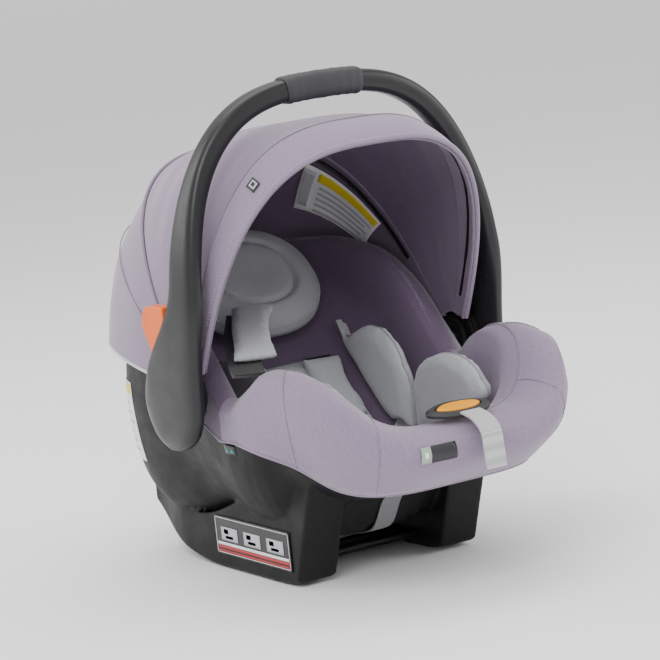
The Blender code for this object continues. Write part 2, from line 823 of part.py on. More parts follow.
def make_grip():
    """Soft sleeve round the top of the handle."""
    angle = grip_angle()
    outer = align(handle_rings(GRIP_SLEEVE + CLEAR, angle, math.pi - angle, GRIP_STEPS))
    inner = align(handle_rings(CLEAR, angle, math.pi - angle, GRIP_STEPS))
    if (inner[0][0] - outer[0][0]).length > GRIP_SLEEVE * 3:
        inner = align([outer[0]] + inner)[1:]
    bm = bmesh.new()
    loop = outer + list(reversed(inner))
    verts = [[bm.verts.new(p) for p in points] for points in loop]
    for upper, lower in zip(verts, verts[1:] + verts[:1]):
        for i in range(len(upper)):
            j = (i + 1) % len(upper)
            bm.faces.new((upper[i], upper[j], lower[j], lower[i]))
    grip = mesh_object("handle_grip", bm, GRIP_GREY, 50)
    return set_origin(grip, (0, HUB_Y, HUB_Z))


def button_outline(grow, reach):
    """Release button seen from the side, in Y and Z; reach lengthens it into the arm."""
    front = HUB_Y - 0.006 - reach
    rear = HUB_Y + 0.044
    low, high = HUB_Z + 0.046, HUB_Z + 0.104
    radius = (high - low) * 0.36
    points = [(front - grow, low - grow), (rear - 0.018, low - grow)]
    for i in range(7):
        angle = math.radians(-30 + 120 * i / 6)
        points.append((rear - radius + (radius + grow) * math.cos(angle),
                       high - radius + (radius + grow) * math.sin(angle)))
    points.append((front - grow, high + grow))
    return points


def button_solid(name, side, grow=0.0, reach=0.0, paint=None):
    inner = ARCH_HALF_WIDTH - 0.0085
    outer = ARCH_HALF_WIDTH + 0.0065
    x0, x1 = sorted((side * (inner - grow), side * (outer + grow)))
    return prism(name, button_outline(grow, reach), x0, x1, paint)


def make_release_buttons():
    for side, word in ((-1, "left"), (1, "right")):
        button = button_solid("release_button_" + word, side, paint=BUTTON_ORANGE)
        bevel(button, 0.0015)
        set_origin(button, (side * ARCH_HALF_WIDTH, HUB_Y + 0.020, HUB_Z + 0.075))
        start = HUB_Y - 0.006 - CLEAR
        spring("button_spring_" + word, (side * (ARCH_HALF_WIDTH - 0.001), start - 0.0009, HUB_Z + 0.075),
               (0, -1, 0), BUTTON_TRAVEL - 0.0008, 0.0035, 0.0005, 2, STEEL)


# ---- pivots --------------------------------------------------------------------------
def gear_outline(radius, teeth, depth):
    points = []
    for i in range(teeth * 2):
        r = radius - (depth if i % 2 else 0.0)
        angle = 2 * math.pi * i / (teeth * 2)
        points.append((HUB_Y + r * math.cos(angle), HUB_Z + r * math.sin(angle)))
    return points


def arm_inner_face(height):
    """How far out an arm's inner face stands, this far above the pivot."""
    low, high = arch_point(0.0), arch_point(grip_angle() / ARM_STEPS)
    return lerp(-low[0], -high[0], height / (high[1] - low[1])) - ARM_THICKNESS / 2


def make_pivots():
    arm_inside = ARCH_HALF_WIDTH - ARM_THICKNESS / 2
    boss_top = arm_inner_face(BOSS_RADIUS)
    for side, word in ((-1, "left"), (1, "right")):
        boss_in, boss_out = side * BOSS_INSIDE, side * (boss_top - CLEAR)
        x_ring("hub_boss_" + word, boss_in, boss_out, HUB_Y, HUB_Z, AXLE_RADIUS + CLEAR, BOSS_RADIUS,
               SHELL_BLACK, 40)
        gear_in = side * (arm_inside + CLEAR)
        gear_out = side * (arm_inside + LOCK_DEPTH - 2 * CLEAR)
        gear = prism("lock_gear_" + word, gear_outline(LOCK_RADIUS - CLEAR, LOCK_TEETH, 0.003),
                     min(gear_in, gear_out), max(gear_in, gear_out), STEEL)
        bore_pivots(gear)
        freeze(gear)
        x_cylinder("hub_axle_" + word, side * AXLE_INSIDE, gear_out, HUB_Y, HUB_Z, AXLE_RADIUS, STEEL)


# ---- canopy --------------------------------------------------------------------------
def canopy_point(angle, t, layer=0, sag=0.0):
    """A point on the canopy: angle from upright, t from 0 at the left pivot to 1 at the right."""
    a = CANOPY_HALF_WIDTH + layer * CANOPY_LAYER * 1.25
    r = CANOPY_RADIUS + layer * CANOPY_LAYER * 1.25
    square = lerp(CANOPY_EXPONENT, REAR_EXPONENT, smoothstep((angle - REAR_BOW) / (CANOPY_HEM - REAR_BOW) * 2))
    start = math.asin((CANOPY_FOOT / r) ** (square / 2))
    phi = lerp(start, math.pi - start, t)
    x = -a * power(math.cos(phi), 2 / square)
    reach = (r - sag * math.sin(phi) ** 2) * power(math.sin(phi), 2 / square)
    return Vector((x, HUB_Y + reach * math.sin(angle), HUB_Z + reach * math.cos(angle)))


def canopy_sheet(name, first, last, steps, layer, paint, foot=0.0, sag=0.0, across=22):
    """Cloth between two bows, as a thin closed shell."""
    bm = bmesh.new()
    rows = []
    for i in range(steps + 1):
        u = i / steps
        angle = lerp(first, last, u)
        dip = sag * math.sin(math.pi * u)
        rows.append([canopy_point(angle, lerp(foot, 1 - foot, j / across), layer, dip)
                     for j in range(across + 1)])
    grid(bm, rows)
    sheet = mesh_object(name, bm, paint)
    face_out(sheet, (0, HUB_Y, HUB_Z))
    solidify(sheet, CANOPY_LAYER)
    return freeze(sheet)


def bow(name, angle, layer, paint, start, points=26):
    """A canopy bow: a round wire bent to the canopy's shape."""
    inset = BOW_RADIUS + CANOPY_LAYER + CLEAR * 4
    path = []
    for i in range(points + 1):
        p = canopy_point(angle, lerp(start, 1 - start, i / points), layer)
        centre = Vector((0, HUB_Y, HUB_Z))
        flat = p - centre
        q = canopy_point(angle, lerp(start, 1 - start, min(1.0, (i + 0.5) / points)), layer)
        o = canopy_point(angle, lerp(start, 1 - start, max(0.0, (i - 0.5) / points)), layer)
        along = (q - o).normalized()
        inward = (-flat - along * (-flat).dot(along)).normalized()
        path.append(p + inward * inset)
    return wire(name, path, BOW_RADIUS, paint)


def make_canopy():
    pivot = (0, HUB_Y, HUB_Z)
    visor = canopy_sheet("canopy_visor", VISOR_FRONT, VISOR_REAR, 3, 1, FABRIC_LILAC)
    set_origin(visor, pivot)
    middle = canopy_sheet("canopy_middle_panel", VISOR_REAR + 0.012, REAR_BOW - 0.012, 6, 0,
                          FABRIC_LILAC, foot=0.015, sag=0.022)
    set_origin(middle, pivot)
    canopy_sheet("canopy_rear_panel", REAR_BOW, CANOPY_HEM, 6, 0, FABRIC_LILAC, foot=0.0)
    bow("canopy_front_bow", VISOR_FRONT + 0.04, 1, STEEL, 0.02)
    bow("canopy_rear_bow", REAR_BOW + 0.03, 0, STEEL, 0.07)


def make_canopy_mounts():
    """Rings on the axles that carry the canopy's bows."""
    outside = CANOPY_HALF_WIDTH + CANOPY_LAYER * 1.25
    shell_side = SHELL_HALF_WIDTH + 0.0045 + CLOTH + CLEAR * 2
    for side, word in ((-1, "left"), (1, "right")):
        x_ring("canopy_mount_" + word, side * (outside + CLEAR), side * (BOSS_INSIDE - CLEAR),
               HUB_Y, HUB_Z, AXLE_RADIUS + CLEAR, MOUNT_RADIUS, SHELL_BLACK)
        x_ring("pivot_spacer_" + word, side * (shell_side + CLEAR), side * (outside - CLEAR * 2),
               HUB_Y, HUB_Z, AXLE_RADIUS + CLEAR, CANOPY_FOOT - 0.006, SHELL_BLACK)


# ---- pads ----------------------------------------------------------------------------


def back_point(x, up, out):
    """A point on the reclined back: up the slope and out from it."""
    c, s = math.cos(BACK_ANGLE), math.sin(BACK_ANGLE)
    return BACK_ORIGIN + Vector((x, up * c - out * s, up * s + out * c))


def oval(half_x, half_y, exponent, count=28):
    points = []
    for i in range(count):
        angle = 2 * math.pi * i / count
        points.append((half_x * power(math.cos(angle), 2 / exponent),
                       half_y * power(math.sin(angle), 2 / exponent)))
    return points


PAD_PROFILE = ((0.90, 0.0), (0.985, 0.18), (1.0, 0.5), (0.97, 0.80), (0.88, 0.96), (0.55, 1.0))


def back_pad(name, up, half_x, half_up, out, thick, paint, exponent=2.6):
    """A cushion lying on the reclined back."""
    bm = bmesh.new()
    shape = oval(half_x, half_up, exponent)
    rows = [[back_point(x * k, up + v * k, out + thick * h) for x, v in shape] for k, h in PAD_PROFILE]
    verts = grid(bm, rows, wrap=True)
    fan(bm, verts[0], back_point(0, up, out))
    fan(bm, verts[-1], back_point(0, up, out + thick))
    return mesh_object(name, bm, paint)


def back_ring(name, up, outer, inner, out, thick, paint, sides=28):
    """A padded ring lying on the reclined back."""
    bm = bmesh.new()
    rows = []
    for k in range(10):
        turn = 2 * math.pi * k / 10
        blend = 0.5 + 0.5 * math.cos(turn)
        lift = out + thick * (0.5 + 0.5 * math.sin(turn))
        shape = oval(lerp(inner[0], outer[0], blend), lerp(inner[1], outer[1], blend), 2.3, sides)
        rows.append([back_point(x, up + v, lift) for x, v in shape])
    verts = [[bm.verts.new(p) for p in row] for row in rows]
    for upper, lower in zip(verts, verts[1:] + verts[:1]):
        for i in range(sides):
            j = (i + 1) % sides
            bm.faces.new((upper[i], upper[j], lower[j], lower[i]))
    return mesh_object(name, bm, paint)


def seat_pad(name, y0, y1, half_x, lift, thick, paint):
    """A cushion that follows the seat from the thighs up the back."""
    bm = bmesh.new()
    middle, half = (y0 + y1) / 2, (y1 - y0) / 2
    shape = oval(half_x, half, 3.4, 32)

    def at(x, y, height):
        return Vector((x, y, hollow_z(x, y) + lift + height * thick))

    rows = []
    for k, h in ((0.3, 0.0), (0.65, 0.0)) + PAD_PROFILE[:-1] + ((0.65, 1.0), (0.3, 1.0)):
        rows.append([at(x * k, middle + v * k, h) for x, v in shape])
    verts = grid(bm, rows, wrap=True)
    fan(bm, verts[0], at(0, middle, 0.0))
    fan(bm, verts[-1], at(0, middle, 1.0))
    return mesh_object(name, bm, paint)


def wing(name, side, y_middle, half_y, top, x_inner, thick, paint):
    """A rounded side bolster that stands on the seat beside the body."""
    steps = 14

    def floor(y):
        return hollow_z(x_inner + thick, y) + COVER_TOP + 0.0085

    base = max(floor(y_middle - half_y * 0.9), floor(y_middle))
    outline = []
    for i in range(steps + 1):
        angle = math.pi * i / steps
        y = y_middle - half_y * math.cos(angle)
        outline.append((y, max(base + (top - base) * math.sin(angle), floor(y) + 0.006)))
    for i in range(steps - 1, 0, -1):
        y = y_middle - half_y * math.cos(math.pi * i / steps)
        outline.append((y, floor(y)))
    x0, x1 = sorted((side * x_inner, side * (x_inner + thick)))
    return prism(name, outline, x0, x1, paint, edge=0.0022)


def make_pads():
    back_pad("head_pad", 0.112, 0.096, 0.072, 0.0125, 0.0155, FABRIC_PLUM)
    back_ring("head_support", 0.106, (0.090, 0.078), (0.050, 0.042), 0.0285, 0.026, FABRIC_GREY)
    back_pad("head_pillow", 0.106, 0.049, 0.041, 0.0285, 0.014, FABRIC_GREY, 2.3)
    seat_pad("body_insert", -0.060, 0.112, 0.078, COVER_TOP, INSERT_THICKNESS, FABRIC_GREY)
    for side, word in ((-1, "left"), (1, "right")):
        wing("torso_wing_" + word, side, 0.049, 0.078, 0.257, 0.083, 0.016, FABRIC_GREY)
        wing("thigh_wing_" + word, side, -0.107, 0.074, 0.238, 0.083, 0.016, FABRIC_GREY)


# ---- harness -------------------------------------------------------------------------
def on_insert(x, y, lift):
    return Vector((x, y, hollow_z(x, y) + COVER_TOP + INSERT_THICKNESS + lift))


def make_harness():
    strap_lift, pad_lift = 0.0045, 0.0140
    route = ((0.040, 0.098), (0.038, 0.060), (0.032, 0.010), (0.022, -0.030))
    right = [on_insert(x, y, strap_lift) for x, y in route] + [Vector((0.016, -0.0535, 0.1370))]
    ribbon("shoulder_strap_right", right, STRAP_WIDTH, STRAP_THICKNESS, WEBBING_BLACK, per_span=4)
    pad = [on_insert(x, y, pad_lift) for x, y in ((0.040, 0.090), (0.038, 0.060), (0.034, 0.024))]
    ribbon("shoulder_pad_right", pad, STRAP_WIDTH + 0.012, 0.009, FABRIC_GREY, per_span=4)
    rim = SHELL_HALF_WIDTH - 0.008
    over = follow(RIM_LINE, -0.090) + ROLL_RISE + CLOTH
    left = [Vector(p) for p in ((-0.050, 0.105, 0.286), (-0.088, 0.050, 0.272), (-0.116, 0.000, 0.262),
                                (0.022 - rim, -0.040, over + 0.0135), (0.008 - rim, -0.070, over + 0.009),
                                (-rim, -0.088, over + 0.0140))]
    slant = (0.88, -0.47, 0.0)
    ribbon("shoulder_strap_left", left, STRAP_WIDTH, STRAP_THICKNESS, WEBBING_BLACK, slant, 4)
    lifted = [p + Vector((0.0106, -0.0056, 0.0085)) for p in left[:4]]
    ribbon("shoulder_pad_left", lifted, STRAP_WIDTH + 0.012, 0.009, FABRIC_GREY, slant, 4)
    buckle = box("harness_buckle", (-0.023, -0.128, 0.1275), (0.023, -0.070, 0.1480), SHELL_BLACK, 0.004)
    low, high = Vector((-0.010, -0.112, 0.1462)), Vector((0.010, -0.094, 0.1505))
    grow = Vector((CLEAR, CLEAR, 0))
    deep = Vector((0, 0, BUCKLE_TRAVEL + CLEAR))
    pocket = box("buckle_pocket", low - grow - deep, high + grow, None)
    boolean(buckle, hide_cutter(pocket))
    box("buckle_button", low, high, BUTTON_RED, 0.001)
    box("buckle_tongue_right", (0.003, -0.0696, 0.1340), (0.029, -0.0550, 0.1362), STEEL, 0.0008)
    ribbon("crotch_strap", [(0, -0.1290, 0.1400), (0, -0.142, 0.1450), (0, -0.160, 0.1560)],
           STRAP_WIDTH, STRAP_THICKNESS, WEBBING_BLACK)


# ---- harness adjuster in the front lip -----------------------------------------------
def tilt_matrix():
    return (Matrix.Translation((0, ADJUSTER_Y, ADJUSTER_Z)) @ Matrix.Rotation(ADJUSTER_TILT, 4, "X"))


def leaf(half_x, half_y, count=32):
    """A pointed oval."""
    points = []
    for i in range(count):
        angle = 2 * math.pi * i / count
        c, s = math.cos(angle), math.sin(angle)
        points.append((half_x * power(c, 1.0), half_y * power(s, 1.25)))
    return points


def make_adjuster():
    frame = tilt_matrix()
    bm = bmesh.new()
    rows = []
    for half_x, half_y, z in ((0.041, 0.021, 0.0), (0.042, 0.022, 0.003), (0.038, 0.0185, 0.006),
                              (0.031, 0.0135, 0.006), (0.030, 0.0125, 0.0)):
        rows.append([frame @ Vector((x, y, z)) for x, y in leaf(half_x, half_y)])
    verts = [[bm.verts.new(p) for p in row] for row in rows]
    for upper, lower in zip(verts, verts[1:] + verts[:1]):
        for i in range(len(upper)):
            j = (i + 1) % len(upper)
            bm.faces.new((upper[i], upper[j], lower[j], lower[i]))
    mesh_object("adjuster_bezel", bm, GRIP_GREY, 30)
    bm = bmesh.new()
    rows = []
    for k, z in ((0.97, 0.0030), (0.97, 0.0062), (0.88, 0.0078)):
        rows.append([frame @ Vector((x * k, y * k, z)) for x, y in leaf(0.0290, 0.0115)])
    verts = grid(bm, rows, wrap=True)
    bm.faces.new(verts[0])
    bm.faces.new(verts[-1])
    button = mesh_object("adjuster_button", bm, BUTTON_YELLOW, 30)
    set_origin(button, frame @ Vector((0, 0.0105, 0.0045)))
    front = ADJUSTER_Y - 0.0225
    pull = [(0, front, ADJUSTER_Z), (0, front - 0.020, ADJUSTER_Z - 0.005), (0, front - 0.035, ADJUSTER_Z - 0.017),
            (0, front - 0.0385, ADJUSTER_Z - 0.037), (0, front - 0.0405, ADJUSTER_Z - 0.058)]
    ribbon("adjuster_pull", pull, PULL_WIDTH, STRAP_THICKNESS * 1.6, WEBBING_GREY)


def make_belly_strap():
    """The adjuster's webbing, where it runs back under the shell."""
    points = []
    for i in range(7):
        y = lerp(-0.150, 0.000, i / 6)
        slope = (follow(BELLY_LINE, y + 0.003) - follow(BELLY_LINE, y - 0.003)) / 0.006
        gap = (STRAP_THICKNESS / 2 + 0.0009) * math.hypot(1.0, slope)
        points.append((0, y, bucket_z(0.0, y) - gap))
    ribbon("adjuster_webbing", points, PULL_WIDTH, STRAP_THICKNESS, WEBBING_GREY, per_span=4)


# ---- base latch ----------------------------------------------------------------------
def make_latch():
    for word, y in (("front", -0.028), ("rear", 0.008)):
        x_cylinder("latch_bar_" + word, -RAIL_OUTER + WALL * 2, RAIL_OUTER - WALL * 2, y,
                   0.010 + SLOT_HEIGHT / 2, 0.005, STEEL, sides=20)
    rear = HUB_Y + SHELL_REAR + CLEAR * 2
    box("release_lever", (-0.042, rear, 0.176), (0.042, rear + 0.013, 0.192), BUTTON_ORANGE, 0.003)
    box("lever_housing", (-0.052, rear, 0.146), (0.052, rear + 0.009, 0.1755), SHELL_BLACK, 0.002)
    spring("lever_spring", (0, rear + 0.0065, 0.1925), (0, 0, 1), 0.014, 0.0040, 0.0006, 4, STEEL)


# ---- labels --------------------------------------------------------------------------
def make_labels():
    skin = RAIL_OUTER + CLEAR
    box("side_label", (-skin - 0.0006, -0.070, 0.018), (-skin, 0.094, 0.064), LABEL_WHITE)


PIVOT_BORES = make_pivot_bores()


def main():
    make_shell()
    make_liner()
    make_cover()
    make_handle()
    make_grip()
    make_release_buttons()
    make_pivots()
    make_canopy()
    make_canopy_mounts()
    make_pads()
    make_harness()
    make_adjuster()
    make_belly_strap()
    make_latch()
    make_labels()


main()
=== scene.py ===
"""Infant car seat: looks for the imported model, in its own frame (metres, +Z up, -Y is the foot end)."""
import math
import bmesh
import bpy
from mathutils import Matrix, Vector, noise
from mathutils.bvhtree import BVHTree


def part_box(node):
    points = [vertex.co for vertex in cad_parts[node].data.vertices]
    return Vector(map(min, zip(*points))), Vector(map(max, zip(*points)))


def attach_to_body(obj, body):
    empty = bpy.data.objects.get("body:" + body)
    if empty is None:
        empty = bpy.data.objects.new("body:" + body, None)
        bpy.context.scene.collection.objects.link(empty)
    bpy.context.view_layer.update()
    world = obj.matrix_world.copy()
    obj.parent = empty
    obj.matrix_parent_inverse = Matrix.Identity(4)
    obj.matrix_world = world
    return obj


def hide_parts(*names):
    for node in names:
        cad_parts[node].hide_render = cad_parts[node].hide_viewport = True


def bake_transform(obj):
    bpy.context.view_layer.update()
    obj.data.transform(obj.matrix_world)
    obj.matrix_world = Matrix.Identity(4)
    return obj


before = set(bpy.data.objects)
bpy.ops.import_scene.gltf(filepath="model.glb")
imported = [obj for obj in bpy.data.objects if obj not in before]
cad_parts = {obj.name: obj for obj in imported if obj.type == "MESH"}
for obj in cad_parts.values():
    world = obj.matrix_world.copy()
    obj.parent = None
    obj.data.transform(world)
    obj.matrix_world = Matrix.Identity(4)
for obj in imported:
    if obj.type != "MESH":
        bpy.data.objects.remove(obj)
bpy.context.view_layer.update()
SCENE = bpy.context.scene

# ---- the model's own sizes ------------------------------------------------------------
HUB = Vector((0.0, 0.010, 0.226))
CLOTH = 0.0025
SHELL_HALF, SHELL_REAR, SHELL_FRONT = 0.168, 0.272, 0.283
RIM_LINE = ((-0.273, 0.178), (-0.240, 0.220), (-0.205, 0.243), (-0.160, 0.250), (-0.118, 0.243),
            (-0.080, 0.221), (-0.045, 0.207), (-0.015, 0.213), (0.012, 0.241), (0.060, 0.292),
            (0.120, 0.322), (0.200, 0.334), (0.282, 0.332))
BELLY_LINE = ((-0.273, 0.122), (-0.200, 0.104), (-0.125, 0.089), (-0.100, 0.084), (-0.070, 0.046),
              (-0.040, 0.038), (0.020, 0.036), (0.150, 0.036), (0.282, 0.040))
SEAT_LINE = ((-0.250, 0.178), (-0.200, 0.150), (-0.120, 0.112), (-0.040, 0.102), (0.030, 0.122),
             (0.120, 0.212), (0.200, 0.288), (0.262, 0.322))
SHELL_WALL, SHELL_VOXEL, RAIL_CORNER = 0.0045, 0.0022, 0.006
RAIL_OUT, RAIL_IN, RAIL_FRONT, RAIL_REAR = 0.123, 0.072, -0.078, 0.262
FLAT_FRONT, FLAT_REAR, ROCK_FRONT, ROCK_REAR = -0.020, 0.090, 0.34, 0.30
HARNESS_WIDTH, PULL_WIDTH, LABEL_LAYER = 0.038, 0.026, 0.00025
BACK_ORIGIN, BACK_ANGLE = Vector((0.0, 0.120, 0.212)), math.radians(44)
CANOPY_R, CANOPY_HALF, CANOPY_E, REAR_E = 0.3035, 0.1805, 2.9, 3.5
VISOR_FRONT, VISOR_REAR = math.radians(-29), math.radians(-19)
REAR_BOW, CANOPY_HEM = math.radians(34), math.radians(82)
ARCH_HALF, ARCH_HEIGHT, ARCH_E, ARCH_LEAN = 0.2055, 0.327, 2.9, 0.045


# ---- camera, light, floor --------------------------------------------------------------
def make_camera():
    az, el, roll = math.radians(-32), math.radians(9.2543), math.radians(-6.0432)
    back = Vector((math.sin(az) * math.cos(el), -math.cos(az) * math.cos(el), math.sin(el)))
    right = (-back).cross(Vector((0, 0, 1))).normalized()
    up = right.cross(-back)
    turned = right * math.cos(roll) + up * math.sin(roll)
    rise = up * math.cos(roll) - right * math.sin(roll)
    data = bpy.data.cameras.new("camera")
    data.lens, data.sensor_width = 163.636, 36.0
    data.clip_end = 50
    camera = bpy.data.objects.new("camera", data)
    SCENE.collection.objects.link(camera)
    place = Matrix((turned, rise, back)).transposed().to_4x4()
    place.translation = Vector((-0.022705, -0.040, 0.275202)) + back * 3.40317
    camera.matrix_world = place
    SCENE.camera = camera


def area_light(name, spot, aim, size, power, colour=(1, 1, 1)):
    data = bpy.data.lights.new(name, "AREA")
    data.shape = "RECTANGLE"
    data.size, data.size_y = size
    data.energy = power
    data.color = colour
    light = bpy.data.objects.new(name, data)
    SCENE.collection.objects.link(light)
    light.location = spot
    light.rotation_euler = (Vector(aim) - Vector(spot)).to_track_quat("-Z", "Y").to_euler()


def make_studio():
    area_light("key", (-1.7, -1.7, 2.3), (0, 0, 0.25), (1.6, 1.6), 52)
    area_light("fill", (2.3, -1.5, 1.3), (0, 0, 0.25), (1.8, 1.8), 30)
    area_light("top", (0.2, 0.5, 2.6), (0, 0, 0.2), (2.2, 2.2), 40)
    area_light("rim", (-1.6, 1.9, 1.4), (0, 0, 0.3), (1.0, 1.6), 22)
    world = bpy.data.worlds.new("studio")
    world.use_nodes = True
    world.node_tree.nodes["Background"].inputs[0].default_value = (1, 1, 1, 1)
    world.node_tree.nodes["Background"].inputs[1].default_value = 0.95
    SCENE.world = world
    mesh = bpy.data.meshes.new("floor")
    s = 12.0
    mesh.from_pydata([(-s, -s, 0), (s, -s, 0), (s, s, 0), (-s, s, 0)], [], [(0, 1, 2, 3)])
    floor = bpy.data.objects.new("floor", mesh)
    SCENE.collection.objects.link(floor)
    floor.location.z = -0.0006
    paint = bpy.data.materials.new("floor")
    paint.use_nodes = True
    shader = paint.node_tree.nodes["Principled BSDF"]
    shader.inputs["Base Color"].default_value = (0.97, 0.97, 0.97, 1)
    shader.inputs["Roughness"].default_value = 0.9
    mesh.materials.append(paint)


# ---- materials -------------------------------------------------------------------------
class Paint:
    """Builds a node material a few nodes at a time, in object coordinates."""

    def __init__(self, name, **sockets):
        self.item = bpy.data.materials.new(name)
        self.item.use_nodes = True
        self.tree = self.item.node_tree
        self.shader = self.tree.nodes["Principled BSDF"]
        for key, value in sockets.items():
            self.shader.inputs[key.replace("_", " ")].default_value = value
        self.where = self.tree.nodes.new("ShaderNodeTexCoord").outputs["Object"]

    def node(self, kind, links=None, **values):
        node = self.tree.nodes.new("ShaderNode" + kind)
        for key, value in values.items():
            if hasattr(node, key):
                setattr(node, key, value)
            else:
                node.inputs[key.replace("_", " ")].default_value = value
        for key, source in (links or {}).items():
            self.tree.links.new(source, node.inputs[key])
        return node

    def noise(self, scale, detail=2.0, stretch=None, rough=0.5):
        where = self.where
        if stretch:
            where = self.node("Mapping", {"Vector": where}, Scale=stretch).outputs[0]
        made = self.node("TexNoise", {"Vector": where}, Scale=scale, Detail=detail, Roughness=rough)
        return made.outputs[0]

    def cells(self, scale, feature="F1"):
        return self.node("TexVoronoi", {"Vector": self.where}, feature=feature, Scale=scale).outputs[0]

    def math(self, operation, a, b=None):
        node = self.node("Math", operation=operation)
        for i, value in enumerate((a, b)):
            if value is None:
                continue
            if isinstance(value, (int, float)):
                node.inputs[i].default_value = value
            else:
                self.tree.links.new(value, node.inputs[i])
        return node.outputs[0]

    def ramp(self, source, low, high, dark, light):
        node = self.node("ValToRGB", {"Fac": source})
        node.color_ramp.elements[0].position = low
        node.color_ramp.elements[1].position = high
        node.color_ramp.elements[0].color = (*dark, 1)
        node.color_ramp.elements[1].color = (*light, 1)
        return node.outputs[0]

    def value_ramp(self, source, low, high, a, b):
        node = self.node("MapRange", {"Value": source})
        for key, value in (("From Min", low), ("From Max", high), ("To Min", a), ("To Max", b)):
            node.inputs[key].default_value = value
        return node.outputs[0]

    def mix(self, fac, a, b):
        node = self.tree.nodes.new("ShaderNodeMix")
        node.data_type = "RGBA"
        for i, value in ((0, fac), (6, a), (7, b)):
            if isinstance(value, (int, float)):
                node.inputs[i].default_value = value
            elif isinstance(value, tuple):
                node.inputs[i].default_value = (*value, 1)
            else:
                self.tree.links.new(value, node.inputs[i])
        return node.outputs[2]

    def colour(self, source):
        self.tree.links.new(source, self.shader.inputs["Base Color"])

    def roughness(self, source):
        self.tree.links.new(source, self.shader.inputs["Roughness"])

    def bump(self, source, strength, distance=0.001):
        node = self.node("Bump", {"Height": source}, Strength=strength, Distance=distance)
        self.tree.links.new(node.outputs[0], self.shader.inputs["Normal"])


def shade(colour, k):
    return tuple(min(1.0, c * k) for c in colour)


def fabric(name, colour, streak=0.0, knit=620, contrast=0.16, sheen=0.35):
    """Knitted cloth: cells at the stitch's scale, melange yarn, soft mottling and a little fuzz."""
    p = Paint(name, Roughness=0.9, Sheen_Weight=sheen, Sheen_Roughness=0.45, Specular_IOR_Level=0.18)
    cell = p.cells(knit)
    yarn = p.noise(950, 3, rough=0.7)
    broad = p.noise(11, 3)
    base = p.ramp(yarn, 0.30, 0.72, shade(colour, 1 - contrast), shade(colour, 1 + contrast))
    worn = p.mix(p.value_ramp(broad, 0.3, 0.7, 0.0, 0.28), base, shade(colour, 0.86))
    pits = p.mix(p.value_ramp(cell, 0.35, 0.85, 0.0, 0.30), worn, shade(colour, 0.62))
    if streak:
        lines = p.noise(120, 4, stretch=(1.0, 6.0, 0.28), rough=0.75)
        pits = p.mix(p.value_ramp(lines, 0.45, 0.68, 0.0, streak), pits, shade(colour, 1.5))
    p.colour(pits)
    height = p.math("ADD", p.math("MULTIPLY", cell, -1.0), p.math("MULTIPLY", yarn, 0.5))
    p.bump(height, 0.35, 0.0006)
    p.roughness(p.value_ramp(yarn, 0.2, 0.8, 0.82, 0.97))
    return p.item


def webbing(name, colour, pitch=0.0016, sheen=0.2):
    """Woven strap: herringbone of two crossed wave patterns, with a shade change in the yarn."""
    p = Paint(name, Roughness=0.7, Sheen_Weight=sheen, Specular_IOR_Level=0.35)
    k = 2 * math.pi / pitch / 20
    a = p.node("TexWave", {"Vector": p.where}, bands_direction="DIAGONAL", Scale=k, Distortion=0.4).outputs[0]
    b = p.node("TexWave", {"Vector": p.where}, bands_direction="Y", Scale=k * 0.8, Distortion=0.4).outputs[0]
    weave = p.math("MULTIPLY", a, b)
    yarn = p.noise(700, 3, rough=0.7)
    base = p.ramp(weave, 0.05, 0.75, shade(colour, 0.62), shade(colour, 1.12))
    p.colour(p.mix(p.value_ramp(yarn, 0.35, 0.7, 0, 0.35), base, shade(colour, 0.75)))
    p.bump(weave, 0.5, 0.0006)
    p.roughness(p.value_ramp(yarn, 0.2, 0.8, 0.6, 0.85))
    return p.item


def plastic(name, colour, rough=0.42, grain=0.12, scale=1500, gloss=0.45):
    """Moulded plastic: fine eroded grain, faint flow marks, slightly polished where it is touched."""
    p = Paint(name, Roughness=rough, Specular_IOR_Level=gloss)
    fine = p.cells(scale, "DISTANCE_TO_EDGE")
    flow = p.noise(7, 3)
    rub = p.noise(32, 4, rough=0.65)
    p.colour(p.mix(p.value_ramp(flow, 0.3, 0.7, 0, 0.22), shade(colour, 1.08), shade(colour, 0.82)))
    p.bump(p.math("ADD", fine, p.math("MULTIPLY", p.noise(scale * 0.6, 2), 0.8)), grain, 0.0004)
    p.roughness(p.value_ramp(rub, 0.3, 0.7, rough - 0.07, rough + 0.09))
    return p.item


def metal(name, colour, rough=0.3):
    """Drawn steel with a zinc bloom."""
    p = Paint(name, Roughness=rough, Metallic=1.0)
    drawn = p.noise(260, 3, stretch=(0.2, 1, 6))
    bloom = p.noise(45, 3)
    p.colour(p.mix(p.value_ramp(bloom, 0.35, 0.7, 0, 0.5), colour, shade(colour, 0.7)))
    p.bump(drawn, 0.12, 0.0003)
    p.roughness(p.value_ramp(drawn, 0.3, 0.7, rough - 0.08, rough + 0.15))
    return p.item


def foam(name, colour):
    """Expanded bead foam: rounded beads pressed together."""
    p = Paint(name, Roughness=0.85)
    bead = p.cells(260, "DISTANCE_TO_EDGE")
    p.colour(p.ramp(bead, 0.02, 0.25, shade(colour, 0.75), colour))
    p.bump(bead, 0.6, 0.0012)
    return p.item


